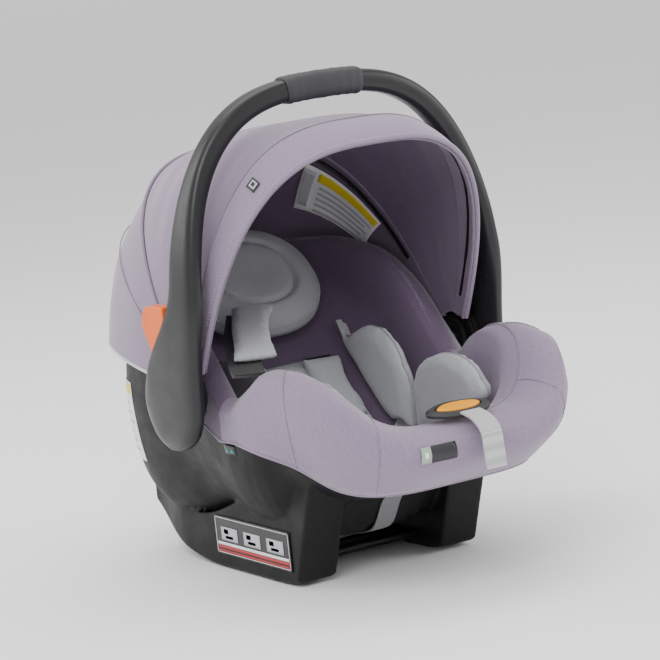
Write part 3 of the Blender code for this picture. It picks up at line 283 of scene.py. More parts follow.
LILAC = (0.285, 0.222, 0.318)
M = {
    "lilac": fabric("cloth_lilac", LILAC),
    "heather": fabric("cloth_heather", shade(LILAC, 0.93), streak=0.22, contrast=0.24),
    # dark lining cloth: the canopy's own lining colour, and on the cover's hollow it is painted shade inside
    # the seat
    "lining": fabric("cloth_lining_and_hollow_shade", (0.158, 0.112, 0.178), knit=520),
    "plum": fabric("cloth_plum", (0.135, 0.096, 0.150), knit=520),
    "jersey": fabric("cloth_jersey", (0.45, 0.46, 0.485), knit=800, contrast=0.10),
    "jersey_dark": fabric("cloth_jersey_edge", (0.30, 0.31, 0.33), knit=800, contrast=0.10),
    "seam": fabric("cloth_seam", (0.22, 0.18, 0.24), knit=900),
    "binding": fabric("cloth_binding", (0.62, 0.60, 0.66), knit=900),
    "thread": fabric("thread", (0.50, 0.44, 0.55), knit=1400),
    "strap": webbing("strap_black", (0.010, 0.010, 0.012)),
    "strap_light": webbing("strap_light", (0.60, 0.60, 0.62), pitch=0.0012),
    "shell": plastic("shell_black", (0.0045, 0.0045, 0.0052), 0.52, 0.22, 900, 0.26),
    "handle": plastic("handle_charcoal", (0.0105, 0.0105, 0.0118), 0.34, 0.06, 1800, 0.40),
    "grip": plastic("grip_rubber", (0.030, 0.030, 0.033), 0.62, 0.3, 900),
    "orange": plastic("button_orange", (0.80, 0.13, 0.0), 0.38, 0.05, 1500),
    "yellow": plastic("button_yellow", (0.95, 0.38, 0.0), 0.34, 0.05, 1500),
    "red": plastic("button_red", (0.55, 0.015, 0.015), 0.34, 0.05, 1500),
    "strap_grey": webbing("strap_grey", (0.24, 0.24, 0.255), pitch=0.0012),
    "steel": metal("steel", (0.60, 0.60, 0.62)),
    "bow": metal("steel_blackened", (0.035, 0.035, 0.038), 0.4),
    "foam": foam("foam", (0.78, 0.78, 0.77)),
    "paper": plastic("label_white", (0.80, 0.80, 0.79), 0.4, 0.02, 1200),
    "ink": plastic("label_black", (0.018, 0.018, 0.02), 0.35, 0.02, 1200),
    "label_yellow": plastic("label_yellow", (0.86, 0.66, 0.03), 0.38, 0.02, 1200),
    "label_red": plastic("label_red", (0.50, 0.012, 0.018), 0.38, 0.02, 1200),
    "label_grey": plastic("label_grey", (0.46, 0.47, 0.50), 0.4, 0.02, 1200),
    "label_green": plastic("label_green", (0.30, 0.38, 0.31), 0.5, 0.02, 1200),
    "teal": plastic("label_teal", (0.02, 0.36, 0.38), 0.45, 0.02, 1200),
}


# ---- small tools -----------------------------------------------------------------------
def lerp(a, b, t):
    return a + (b - a) * t


def smoothstep(t):
    t = min(1.0, max(0.0, t))
    return t * t * (3 - 2 * t)


def power(value, exponent):
    return math.copysign(abs(value) ** exponent, value)


def follow(line, y):
    """Height of a smooth line through a few (y, z) points."""
    if y <= line[0][0]:
        return line[0][1]
    if y >= line[-1][0]:
        return line[-1][1]
    slopes = []
    for i in range(len(line)):
        before, after = line[max(i - 1, 0)], line[min(i + 1, len(line) - 1)]
        slopes.append((after[1] - before[1]) / (after[0] - before[0]))
    for i in range(len(line) - 1):
        (y0, z0), (y1, z1) = line[i], line[i + 1]
        if y <= y1:
            d = y1 - y0
            t = (y - y0) / d
            return ((2 * t**3 - 3 * t**2 + 1) * z0 + (t**3 - 2 * t**2 + t) * d * slopes[i]
                    + (3 * t**2 - 2 * t**3) * z1 + (t**3 - t**2) * d * slopes[i + 1])
    return line[-1][1]


def smooth_path(points, per_span=6, closed=False):
    points = [Vector(p) for p in points]
    if closed:
        ends = [points[-1]] + points + points[:2]
    else:
        ends = [points[0] * 2 - points[1]] + points + [points[-1] * 2 - points[-2]]
    result = []
    for i in range(1, len(ends) - 2):
        a, b, c, d = ends[i - 1:i + 3]
        for step in range(per_span):
            t = step / per_span
            result.append(0.5 * ((2 * b) + (c - a) * t + (2 * a - 5 * b + 4 * c - d) * t**2
                                 + (3 * b - a - 3 * c + d) * t**3))
    if not closed:
        result.append(points[-1])
    return result


def attach(piece, body, slot, *nodes):
    """Ride on a body, standing for the named CAD nodes; slot is not used."""
    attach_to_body(piece, body)
    if nodes:
        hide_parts(*nodes)


def repaint(node, paint):
    """Give a CAD node a better material."""
    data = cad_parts[node].data
    data.materials.clear()
    data.materials.append(M[paint])


def add(name, mesh, paints, smooth=True):
    for paint in paints if isinstance(paints, (list, tuple)) else (paints,):
        mesh.materials.append(M[paint])
    if smooth:
        mesh.polygons.foreach_set("use_smooth", [True] * len(mesh.polygons))
    item = bpy.data.objects.new(name, mesh)
    SCENE.collection.objects.link(item)
    return item


def build(name, bm, paints, smooth=True, flip=False):
    bmesh.ops.recalc_face_normals(bm, faces=bm.faces) if flip is None else None
    mesh = bpy.data.meshes.new(name)
    bm.to_mesh(mesh)
    bm.free()
    return add(name, mesh, paints, smooth)


def grid(rows, wrap=False, bm=None):
    bm = bm or bmesh.new()
    verts = [[bm.verts.new(p) for p in row] for row in rows]
    for upper, lower in zip(verts, verts[1:]):
        n = len(upper)
        for i in range(n if wrap else n - 1):
            j = (i + 1) % n
            bm.faces.new((upper[i], upper[j], lower[j], lower[i]))
    return bm, verts


def modify(item, kind, **values):
    modifier = item.modifiers.new(kind.lower(), kind)
    for key, value in values.items():
        setattr(modifier, key, value)
    return modifier


def subdivide(item, levels=1):
    modify(item, "SUBSURF", levels=levels, render_levels=levels)


def apply_all(item):
    dg = bpy.context.evaluated_depsgraph_get()
    mesh = bpy.data.meshes.new_from_object(item.evaluated_get(dg), depsgraph=dg)
    item.modifiers.clear()
    item.data = mesh
    return item


def tube(name, points, radius, paint, closed=False):
    data = bpy.data.curves.new(name, "CURVE")
    data.dimensions = "3D"
    data.bevel_depth = radius
    data.bevel_resolution = 2
    data.use_fill_caps = not closed
    line = data.splines.new("POLY")
    line.points.add(len(points) - 1)
    for target, point in zip(line.points, points):
        target.co = (*point, 1)
    line.use_cyclic_u = closed
    data.materials.append(M[paint])
    item = bpy.data.objects.new(name, data)
    SCENE.collection.objects.link(item)
    return item


def resample(points, pitch, closed=False):
    """Points at an even pitch along a route."""
    route = [Vector(p) for p in points]
    if closed:
        route.append(route[0])
    result, left = [], 0.0
    for a, b in zip(route, route[1:]):
        span = (b - a).length
        while left <= span and span > 0:
            result.append(a.lerp(b, left / span))
            left += pitch
        left -= span
    return result


def stitches(name, points, paint="thread", pitch=0.0042, length=0.0027, gauge=0.00034, closed=False):
    """A row of separate stitches lying along a route."""
    marks = resample(points, pitch, closed)
    bm = bmesh.new()
    for a, b in zip(marks, marks[1:]):
        along = (b - a).normalized()
        middle = (a + b) / 2
        turn = along.to_track_quat("X", "Z").to_matrix().to_4x4()
        size = Matrix.Diagonal((length / 2, gauge, gauge, 1))
        place = Matrix.Translation(middle) @ turn @ size
        bmesh.ops.create_icosphere(bm, subdivisions=1, radius=1.0, matrix=place)
    return build(name, bm, paint)


def surface(*items):
    """Nearest-point search over the rest shape of some pieces."""
    dg = bpy.context.evaluated_depsgraph_get()
    verts, faces = [], []
    for item in items:
        mesh = item.evaluated_get(dg).to_mesh()
        start = len(verts)
        verts += [item.matrix_world @ v.co for v in mesh.vertices]
        faces += [[start + i for i in p.vertices] for p in mesh.polygons]
    return BVHTree.FromPolygons(verts, faces)


def lay(tree, points, lift):
    """Move points onto a surface, lift metres proud of it."""
    result = []
    for p in points:
        spot, normal, _, _ = tree.find_nearest(Vector(p))
        result.append(spot + normal * lift)
    return result


def ribbon(name, points, width, thickness, paint, across=(1, 0, 0), per_span=8, cross=6, cup=0.0):
    """Flat webbing with rounded selvedges along a smooth route."""
    path = smooth_path(points, per_span)
    rows = []
    for i, here in enumerate(path):
        along = (path[min(i + 1, len(path) - 1)] - path[max(i - 1, 0)]).normalized()
        side = Vector(across)
        side = (side - along * side.dot(along)).normalized()
        up = side.cross(along)
        row = []
        for k in range(cross + 1):
            u = k / cross * 2 - 1
            row.append(here + side * (width / 2 * u) + up * (thickness / 2 + cup * (1 - u * u)) * 1.0)
        for k in range(cross, -1, -1):
            u = k / cross * 2 - 1
            row.append(here + side * (width / 2 * u) + up * (-thickness / 2 + cup * (1 - u * u)))
        rows.append(row)
    bm, verts = grid(rows, True)
    bm.faces.new(verts[0])
    bm.faces.new(list(reversed(verts[-1])))
    item = build(name, bm, paint)
    item.data.set_sharp_from_angle(angle=math.radians(50))
    return item


# ---- soft pieces from their solids -------------------------------------------------------
def stuffed(name, node, paint, body="seat", voxel=0.0045, pressure=4.0, cap=0.006, shrink=0.0012,
            slot="fabric_grey"):
    """A pad sewn from cloth and filled: its solid is remeshed, blown up a little as cloth, and smoothed."""
    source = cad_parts[node]
    item = bpy.data.objects.new(name, source.data.copy())
    item.data.materials.clear()
    item.data.materials.append(M[paint])
    SCENE.collection.objects.link(item)
    modify(item, "REMESH", mode="VOXEL", voxel_size=voxel)
    apply_all(item)
    mesh = item.data
    for v in mesh.vertices:
        v.co -= v.normal * shrink
    start = [v.co.copy() for v in mesh.vertices]
    cloth = item.modifiers.new("cloth", "CLOTH")
    cloth.settings.quality = 4
    cloth.settings.use_pressure = True
    cloth.settings.uniform_pressure_force = pressure
    cloth.settings.effector_weights.gravity = 0
    cloth.settings.mass = 0.2
    cloth.point_cache.frame_start = 1
    cloth.point_cache.frame_end = 20
    for number in range(1, 21):
        SCENE.frame_set(number)
    dg = bpy.context.evaluated_depsgraph_get()
    blown = [v.co.copy() for v in item.evaluated_get(dg).data.vertices]
    item.modifiers.clear()
    SCENE.frame_set(1)
    for v, a, b in zip(mesh.vertices, start, blown):
        move = b - a
        if move.length > cap:
            move *= cap / move.length
        v.co = a + move
    modify(item, "SMOOTH", factor=0.5, iterations=2)
    subdivide(item)
    apply_all(item)
    item.data.materials.clear()
    item.data.materials.append(M[paint])
    item.data.polygons.foreach_set("use_smooth", [True] * len(item.data.polygons))
    attach(item, body, slot, node)
    return item


# ---- the bucket's surfaces ----------------------------------------------------------------
def wall_exponent(lean):
    if lean > 0:
        return lerp(2.5, 6.0, smoothstep(lean))
    return lerp(2.5, 3.0, smoothstep(-lean))


def bucket_point(theta, level, inset=0.0):
    c, s = math.cos(theta), math.sin(theta)
    rear = s > 0
    exponent = wall_exponent(s)
    phi = level * math.pi / 2
    scale = math.cos(phi) ** (2 / exponent) if level < 1 else 0.0
    depth = math.sin(phi) ** (2 / exponent)
    corner = lerp(2.6, 4.2, smoothstep(depth / 0.5)) if rear else lerp(4.0, 3.2, smoothstep(depth / 0.6))
    x0 = (SHELL_HALF - inset) * power(c, 2 / corner)
    y0 = ((SHELL_REAR if rear else SHELL_FRONT) - inset) * power(s, 2 / corner)
    y = HUB.y + y0 * scale
    return Vector((x0 * scale, y, lerp(follow(RIM_LINE, HUB.y + y0), follow(BELLY_LINE, y) + inset, depth)))


def hollow_size(rear, lift):
    inset = 0.026 + lift
    if rear:
        return SHELL_HALF - inset, SHELL_REAR - inset, 3.0, 4.2
    return SHELL_HALF - inset, SHELL_FRONT - 0.036 - inset, 4.0, 3.0


def hollow_rim(y, reach):
    outer = SHELL_REAR if y > 0 else SHELL_FRONT
    return follow(RIM_LINE, HUB.y + y * outer / reach)


def hollow_floor(y, lift):
    return max(follow(SEAT_LINE, y) + lift, follow(BELLY_LINE, y) + 0.02)


def hollow_point(theta, level, lift=0.0):
    c, s = math.cos(theta), math.sin(theta)
    half, reach, corner, exponent = hollow_size(s > 0, lift)
    phi = level * math.pi / 2
    scale = math.cos(phi) ** (2 / exponent) if level < 1 else 0.0
    depth = math.sin(phi) ** (2 / exponent)
    x0, y0 = half * power(c, 2 / corner), reach * power(s, 2 / corner)
    y = HUB.y + y0 * scale
    return Vector((x0 * scale, y, lerp(hollow_rim(y0, reach), hollow_floor(y, lift), depth)))


def hem_height(y):
    return follow(((-0.300, 0.118), (-0.220, 0.130), (-0.150, 0.160), (-0.080, 0.176), (0.000, 0.180),
                   (0.060, 0.250), (0.150, 0.300), (0.290, 0.308)), y)


def shell_at(theta, z):
    low, high = 0.0, 0.9
    for _ in range(20):
        level = (low + high) / 2
        if bucket_point(theta, level).z > z:
            low = level
        else:
            high = level
    return bucket_point(theta, low)


def skirt_point(theta, drop):
    rim = bucket_point(theta, 0.0)
    z = lerp(rim.z, hem_height(rim.y), drop)
    front = smoothstep((-rim.y - 0.10) / 0.12)
    face = shell_at(theta, z) if rim.y > 0 else rim
    out = Vector((face.x, face.y - HUB.y, 0)).normalized()
    tuck = 0.050 * front * drop**2.2
    bulge = 0.010 * front * math.sin(math.pi * min(1.0, drop * 1.2)) * (1 - drop)
    flare = lerp(0.013, 0.0012, smoothstep((rim.y + 0.085) / 0.045))
    spot = face + out * (flare + 0.0004 + bulge - tuck)
    return Vector((spot.x, spot.y, z))


def cover_point(theta, s):
    """On the cover: s is 0 mid-seat, 1 at the hollow's rim, 2 outside the rim, 3 at the hem."""
    lift = 0.0022
    if s <= 1:
        return hollow_point(theta, (1 - s), lift)
    if s >= 2:
        return skirt_point(theta, s - 2)
    inside, outside = hollow_point(theta, 0.0, lift), skirt_point(theta, 0.0)
    t = s - 1
    spot = inside.lerp(outside, t)
    spot.z += 0.011 * math.sin(math.pi * lerp(0.05, 0.95, t)) - 0.0015
    return spot


def cover_normal(theta, s):
    e = 0.01
    a = cover_point(theta, min(s + e, 3.0)) - cover_point(theta, max(s - e, 0.004))
    b = cover_point(theta + e, s) - cover_point(theta - e, s)
    n = a.cross(b)
    return n.normalized() if n.length > 1e-12 else Vector((0, 0, 1))


def cover_spot(theta, s, lift):
    return cover_point(theta, s) + cover_normal(theta, s) * (CLOTH + lift)


def ripple(p, scale, size):
    return noise.noise(Vector(p) * scale) * size


def make_cover():
    """Fitted cover, one sheet: lines the hollow, rolls over the rim, hangs outside the shell to its hem."""
    count = 176
    levels = [0.035, 0.10, 0.18, 0.27, 0.36, 0.46, 0.56, 0.66, 0.76, 0.85, 0.93, 1.0]
    levels += [1 + k / 9 for k in range(1, 10)] + [2.08, 2.2, 2.34, 2.5, 2.66, 2.82, 2.93, 3.0]
    rows = []
    for s in levels:
        row = []
        for i in range(count):
            theta = 2 * math.pi * (i + 0.5) / count
            p = cover_point(theta, s)
            n = cover_normal(theta, s)
            soft = smoothstep((s - 0.8) / 0.3) * (1 - smoothstep((s - 2.7) / 0.3))
            p += n * (ripple(p, 17, 0.0016) * soft + ripple(p, 45, 0.0005))
            row.append(p)
        rows.append(row)
    bm, verts = grid(rows, True)
    tip = bm.verts.new(hollow_point(0.0, 1.0, 0.0022))
    for i in range(count):
        bm.faces.new((verts[0][(i + 1) % count], verts[0][i], tip))
    bm.faces.ensure_lookup_table()
    # painted shade: faces inside the hollow behind the heather front, and the fan in its middle, get the dark
    # lining cloth for the shade that falls in the seat
    for face in bm.faces:
        middle = face.calc_center_median()
        radial = abs(middle.x) / SHELL_HALF
        back = middle.y > 0.045 and radial < 0.86 and face.index < count * 11
        if back or face.index >= count * (len(levels) - 1):
            face.material_index = 2
        elif face.index < count * 14 and middle.y < -0.02:
            face.material_index = 1
        elif face.index < count * 11:
            face.material_index = 2
    bmesh.ops.reverse_faces(bm, faces=bm.faces)
    cover = build("cover", bm, ("lilac", "heather", "lining"))
    total = sum((p.center - HUB).dot(p.normal) * p.area for p in cover.data.polygons)
    modify(cover, "SOLIDIFY", thickness=CLOTH, offset=-1 if total > 0 else 1)
    attach(cover, "seat", "fabric_lilac", "seat_cover")
    # seams: the piped line inside the roll, the line over the roll, the hem's binding and two darts
    loop = [2 * math.pi * (i + 0.5) / 240 for i in range(240)]
    for name, s, radius, paint in (("cover_piping", 1.30, 0.0010, "seam"),
                                   ("cover_hem_cord", 3.0, 0.0016, "lilac")):
        seam = tube(name, [cover_spot(t, s, -0.0004) for t in loop], radius, paint, True)
        attach(seam, "seat", "fabric_lilac")
    top = stitches("cover_topstitch", [cover_spot(t, 1.36, 0.0001) for t in loop], closed=True)
    hem = stitches("cover_hem_stitch", [cover_spot(t, 2.93, 0.0001) for t in loop], closed=True)
    for seam in (top, hem):
        attach(seam, "seat", "fabric_lilac")
    for k, theta in enumerate((math.radians(-62), math.radians(-118), math.radians(-22), math.radians(-158))):
        run = [cover_spot(theta, lerp(1.32, 2.98, i / 40), -0.0002) for i in range(41)]
        seam = tube("cover_dart_%d" % k, run, 0.0006, "seam")
        attach(seam, "seat", "fabric_lilac")
    return cover


# ---- canopy --------------------------------------------------------------------------------
def canopy_point(angle, t, layer=0.0, sag=0.0, foot=0.030):
    a, r = CANOPY_HALF + layer, CANOPY_R + layer
    square = lerp(CANOPY_E, REAR_E, smoothstep((angle - REAR_BOW) / (CANOPY_HEM - REAR_BOW) * 2))
    start = math.asin((foot / r) ** (square / 2))
    phi = lerp(start, math.pi - start, t)
    x = -a * power(math.cos(phi), 2 / square)
    reach = (r - sag * math.sin(phi) ** 2) * power(math.sin(phi), 2 / square)
    return Vector((x, HUB.y + reach * math.sin(angle), HUB.z + reach * math.cos(angle)))


def visor_point(u, t, layer=0.0):
    """u is 0 at the visor's front edge and 1 at its rear seam; it keeps some width down to the pivot."""
    p = canopy_point(lerp(VISOR_FRONT, VISOR_REAR, u), t, layer)
    reach = math.hypot(p.y - HUB.y, p.z - HUB.z) / CANOPY_R
    p.y -= 0.014 * (1 - u) * max(0.0, 1 - reach) ** 1.3
    return p


def sheet_grid(name, function, across, along, paints, thickness=0.0018, levels=1):
    rows = [[function(i / along, j / across) for j in range(across + 1)] for i in range(along + 1)]
    bm, _ = grid(rows)
    item = build(name, bm, paints)
    total = sum((p.center - HUB).dot(p.normal) * p.area for p in item.data.polygons)
    if total < 0:
        item.data.flip_normals()
    modify(item, "SOLIDIFY", thickness=thickness, offset=-1, material_offset=1, material_offset_rim=0)
    if levels:
        subdivide(item, levels)
    return item


def make_canopy():
    def visor(u, t):
        p = visor_point(u, t, 0.0025)
        puff = 0.0022 * math.sin(math.pi * u)
        return p + (p - HUB).normalized() * (puff + ripple(p, 22, 0.0010))

    def lining(u, t):
        p = visor_point(lerp(0.02, 0.98, u), t, -0.0030)
        return p + (p - HUB).normalized() * ripple(p, 25, 0.0014)

    def middle(u, t):
        angle = lerp(VISOR_REAR + 0.008, REAR_BOW - 0.006, u)
        dip = 0.020 * math.sin(math.pi * u) ** 0.8
        p = canopy_point(angle, t, 0.0, dip)
        folds = math.sin(math.pi * u) * ripple((p.x * 0.5, p.y * 2.0, p.z * 0.6), 16, 0.006)
        return p + (p - HUB).normalized() * folds

    def rear(u, t):
        angle = lerp(REAR_BOW, CANOPY_HEM, u)
        p = canopy_point(angle, t, 0.0005)
        belly = -0.004 * math.sin(math.pi * u)
        return p + (p - HUB).normalized() * (belly + ripple(p, 12, 0.0035) * math.sin(math.pi * u))

    item = sheet_grid("visor", visor, 110, 12, ("lilac", "lining"))
    attach(item, "canopy", "fabric_lilac", "canopy_visor")
    inner = sheet_grid("visor_lining", lining, 90, 8, ("lining", "lining"), 0.0010)
    attach(inner, "canopy", "fabric_plum")
    panel = sheet_grid("canopy_middle", middle, 100, 26, ("lilac", "lining"), 0.0016)
    apply_all(panel)
    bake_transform(panel)
    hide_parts("canopy_middle_panel")
    back = sheet_grid("canopy_back", rear, 100, 26, ("lilac", "lining"), 0.0016)
    attach(back, "seat", "fabric_lilac", "canopy_rear_panel")
    steps = [i / 160 for i in range(161)]
    lines = (
        ("visor_edge", [visor_point(0.0, t, 0.0010) for t in steps], 0.0030, "lilac", "canopy"),
        ("visor_edge_inner", [visor_point(0.02, t, -0.0035) for t in steps], 0.0016, "seam", "canopy"),
        ("visor_seam", [visor_point(0.985, t, 0.0030) for t in steps], 0.0009, "seam", "canopy"),
        ("rear_bow_seam", [canopy_point(REAR_BOW, t, 0.0014) for t in steps], 0.0020, "lilac", "seat"),
        ("rear_seam", [canopy_point(REAR_BOW + 0.33, t, -0.0014) for t in steps], 0.0007, "seam", "seat"),
        ("rear_binding", [canopy_point(CANOPY_HEM, t, -0.0004) for t in steps], 0.0022, "binding", "seat"),
    )
    for name, points, radius, paint, body in lines:
        seam = tube(name, points, radius, paint)
        attach(seam, body, "fabric_lilac")
    tag = [(0.32, 0.262, 0.66, 0.284, "ink"), (0.38, 0.266, 0.60, 0.280, "label_grey"),
           (0.43, 0.269, 0.55, 0.277, "ink")]
    canopy_label("visor_tag", visor, tag, -0.0010, "canopy")
    note = [(0.10, 0.66, 0.44, 0.86, "paper"), (0.12, 0.70, 0.19, 0.855, "label_yellow"),
            (0.13, 0.665, 0.40, 0.69, "label_grey")]
    note += [(0.22 + 0.045 * k, 0.71, 0.235 + 0.045 * k, 0.85 - 0.01 * (k % 2), "label_grey")
             for k in range(5)]
    canopy_label("inner_label", rear, note, 0.0042, "seat")
    for name, u in (("visor_stitch_a", 0.13), ("visor_stitch_b", 0.20), ("visor_stitch_c", 0.92)):
        seam = stitches(name, [visor(u, t) + (visor(u, t) - HUB).normalized() * 0.0001 for t in steps])
        attach(seam, "canopy", "fabric_lilac")


def canopy_label(name, function, parts, inward, body):
    """Printed panels that follow a canopy surface: each is (u0, t0, u1, t1, paint)."""
    paints, bm = [], bmesh.new()
    for k, (u0, t0, u1, t1, paint) in enumerate(parts):
        if paint not in paints:
            paints.append(paint)
        rows = []
        for i in range(9):
            row = []
            for j in range(31):
                p = function(lerp(u0, u1, i / 8), lerp(t0, t1, j / 30))
                row.append(p + (HUB - p).normalized() * inward * (1 + 0.35 * min(k, 2)))
            rows.append(row)
        start = len(bm.faces)
        grid(rows, bm=bm)
        bm.faces.ensure_lookup_table()
        for face in bm.faces[start:]:
            face.material_index = paints.index(paint)
    item = build(name, bm, paints)
    modify(item, "SOLIDIFY", thickness=0.0003, offset=0)
    attach(item, body, "label_white")
    return item


# ---- handle --------------------------------------------------------------------------------
def arm_middle(z):
    return HUB.y - ARCH_LEAN * smoothstep((z - HUB.z) / 0.125)


def arm_half_width(z):
    low = z - HUB.z
    if low < 0:
        return math.sqrt(max(0.060**2 - low * low, 0.0))
    neck = lerp(0.060, 0.026, smoothstep(low / 0.135))
    return lerp(neck, 0.0145, smoothstep((low - 0.135) / 0.15))


def arch_point(angle):
    return (-ARCH_HALF * power(math.cos(angle), 2 / ARCH_E),
            HUB.z + ARCH_HEIGHT * power(math.sin(angle), 2 / ARCH_E))


def arch_normal(angle, step=0.004):
    x0, z0 = arch_point(max(angle - step, 0.0))
    x1, z1 = arch_point(min(angle + step, math.pi))
    along = Vector((x1 - x0, 0, z1 - z0)).normalized()
    return Vector((-along.z, 0, along.x))


def section(x, z, out, half_width, half_thick, count=24):
    """Rounded cross-section; out points away from the seat."""
    middle = Vector((x, arm_middle(z), z))
    points = []
    for i in range(count):
        a = 2 * math.pi * (i + 0.5) / count
        points.append(middle + Vector((0, half_width * power(math.cos(a), 0.55), 0))
                      + out * half_thick * power(math.sin(a), 0.7))
    return points


def arch_rings(grow, first, last, steps):
    rings = []
    for i in range(steps + 1):
        a = lerp(first, last, i / steps)
        x, z = arch_point(a)
        thick = lerp(0.022, 0.0261, smoothstep((z - HUB.z - 0.15) / 0.15)) / 2
        rings.append(section(x, z, arch_normal(a), arm_half_width(z) + grow, thick + grow))
    return rings


def make_handle():
    rings = []
    for low in (0.0595, 0.0580, 0.0550, 0.050, 0.043, 0.034, 0.023, 0.011):
        thin = 0.011 * (1 - 0.35 * smoothstep((low - 0.045) / 0.015))
        rings.append(section(-ARCH_HALF, HUB.z - low, Vector((-1, 0, 0)), arm_half_width(HUB.z - low), thin))
    arch = arch_rings(0.0, 0.0, math.pi, 96)
    tail = []
    for low in reversed((0.0595, 0.0580, 0.0550, 0.050, 0.043, 0.034, 0.023, 0.011)):
        thin = 0.011 * (1 - 0.35 * smoothstep((low - 0.045) / 0.015))
        tail.append(section(ARCH_HALF, HUB.z - low, Vector((1, 0, 0)), arm_half_width(HUB.z - low), thin))
    bm, verts = grid(rings + arch + tail, True)
    bm.faces.new(verts[0])
    bm.faces.new(list(reversed(verts[-1])))
    bmesh.ops.recalc_face_normals(bm, faces=bm.faces)
    handle = build("carry_handle", bm, "handle")
    handle.data.set_sharp_from_angle(angle=math.radians(60))
    subdivide(handle)
    attach(handle, "handle", "handle_grey", "handle_bow")
    half = math.acos((0.050 / ARCH_HALF) ** (ARCH_E / 2))
    rings = []
    for k in range(29):
        a = lerp(half, math.pi - half, k / 28)
        x, z = arch_point(a)
        edge = min(k, 28 - k)
        grow = 0.0024 + 0.0004 * (edge % 4 == 2) if edge > 1 else (0.0009, 0.0022)[edge]
        rings.append(section(x, z, arch_normal(a), 0.0145 + grow, 0.01305 + grow))
    bm, verts = grid(rings, True)
    bm.faces.new(verts[0])
    bm.faces.new(list(reversed(verts[-1])))
    bmesh.ops.recalc_face_normals(bm, faces=bm.faces)
    grip = build("grip_sleeve", bm, "grip")
    grip.data.set_sharp_from_angle(angle=math.radians(50))
    attach(grip, "handle", "grip_grey", "handle_grip")


# ---- pads ----------------------------------------------------------------------------------
def back_point(x, up, out):
    c, s = math.cos(BACK_ANGLE), math.sin(BACK_ANGLE)
    return BACK_ORIGIN + Vector((x, up * c - out * s, up * s + out * c))


def oval(half_x, half_y, exponent, count=72):
    return [(half_x * power(math.cos(2 * math.pi * i / count), 2 / exponent),
             half_y * power(math.sin(2 * math.pi * i / count), 2 / exponent)) for i in range(count)]


def edge_piping(name, item, outline, lift, radius, paint, closed=True, body="seat"):
    tree = surface(item)
    seam = tube(name, lay(tree, outline, lift), radius, paint, closed)
    attach(seam, body, "fabric_grey")
    return seam


def support_point(a, r):
    """On the head support: a round the oval, r from 0 in the middle to 1 at its edge, then 2 under it."""
    half_x, half_up = 0.0925, 0.0805
    c, v = power(math.cos(a), 2 / 2.25), power(math.sin(a), 2 / 2.25)
    if r <= 1:
        full = (1 - r**5.0) ** 0.5
        seam = math.exp(-((r - 0.585) / 0.030) ** 2)
        hollow = 0.0035 * (1 - smoothstep(r / 0.5))
        out = 0.0285 + 0.0300 * full - 0.0075 * seam - hollow
        dart = math.exp(-((a - 1.83) / 0.035) ** 2) * smoothstep((r - 0.58) / 0.1)
        out -= 0.0030 * dart * full
        p = back_point(half_x * c * r, 0.106 + half_up * v * r, out)
        return p + Vector((0, -0.7, 0.7)) * ripple(p, 38, 0.0010) * full
    k = 2 - r
    return back_point(half_x * c * k, 0.106 + half_up * v * k, 0.0285)


def make_head_support():
    """Head support: one filled pillow with the round inner panel sewn in, a dart and piping."""
    count = 112
    radii = [0.06, 0.13, 0.20, 0.28, 0.36, 0.43, 0.49, 0.53, 0.56, 0.585, 0.61, 0.64, 0.69, 0.75, 0.81, 0.86,
             0.90, 0.935, 0.96, 0.98, 0.993, 1.0, 1.04, 1.3, 1.7]
    rows = [[support_point(2 * math.pi * i / count, r) for i in range(count)] for r in radii]
    bm, verts = grid(rows, True)
    for row, centre in ((verts[0], back_point(0, 0.106, 0.0550)), (verts[-1], back_point(0, 0.106, 0.0285))):
        tip = bm.verts.new(centre)
        for i in range(count):
            bm.faces.new((row[i], row[(i + 1) % count], tip))
    bmesh.ops.recalc_face_normals(bm, faces=bm.faces)
    pad = build("pad_head_support", bm, "jersey")
    attach(pad, "seat", "fabric_grey", "head_support", "head_pillow")
    tree = surface(pad)
    loop = [2 * math.pi * i / 120 for i in range(120)]
    for name, r, lift, radius, paint in (("support_piping", 0.955, 0.0004, 0.0013, "jersey"),
                                         ("support_seam", 0.585, 0.0002, 0.0008, "jersey_dark")):
        seam = tube(name, lay(tree, [support_point(a, r) for a in loop], lift), radius, paint, True)
        attach(seam, "seat", "fabric_grey")
    line = [support_point(1.83, lerp(0.60, 0.95, i / 14)) for i in range(15)]
    dart = tube("support_dart", lay(tree, line, 0.0001),
                0.0006, "jersey_dark")
    attach(dart, "seat", "fabric_grey")


def make_pads():
    pad = stuffed("pad_head", "head_pad", "plum", cap=0.006, slot="fabric_plum")
    edge_piping("pad_head_piping", pad, [back_point(x, 0.112 + v, 0.026) for x, v in oval(0.092, 0.068, 2.6)],
                0.0004, 0.0012, "plum")
    make_head_support()
    insert = stuffed("pad_insert", "body_insert", "jersey", cap=0.006)
    low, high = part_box("body_insert")
    tree = surface(insert)
    rim = [Vector((x * 0.97, (low[1] + high[1]) / 2 + v * 0.97, 0.30))
           for x, v in oval((high[0] - low[0]) / 2, (high[1] - low[1]) / 2, 3.4, 96)]
    points = []
    for p in rim:
        hit = tree.ray_cast(p, Vector((0, 0, -1)))
        if hit[0]:
            points.append(hit[0] + hit[1] * 0.0003)
    seam = tube("insert_piping", points, 0.0010, "jersey_dark", True)
    attach(seam, "seat", "fabric_grey")
    for part in ("torso", "thigh"):
        for word in ("left", "right"):
            node = "%s_wing_%s" % (part, word)
            wing = stuffed("pad_" + node, node, "jersey", cap=0.005, shrink=0.0008)
            low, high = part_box(node)
            middle = Vector(((low[0] + high[0]) / 2, (low[1] + high[1]) / 2, high[2]))
            radius = (high[1] - low[1]) / 2
            arc = []
            for i in range(40):
                a = math.pi * i / 39
                arc.append(Vector((middle.x, middle.y - radius * 1.02 * math.cos(a),
                                   high[2] - radius * 0.9 + radius * 0.95 * math.sin(a))))
            edge_piping("piping_" + node, wing, arc, 0.0002, 0.0010, "jersey_dark", False)
    for word in ("left", "right"):
        stuffed("pad_shoulder_" + word, "shoulder_pad_" + word, "jersey",
                voxel=0.004, cap=0.003, shrink=0.0004)


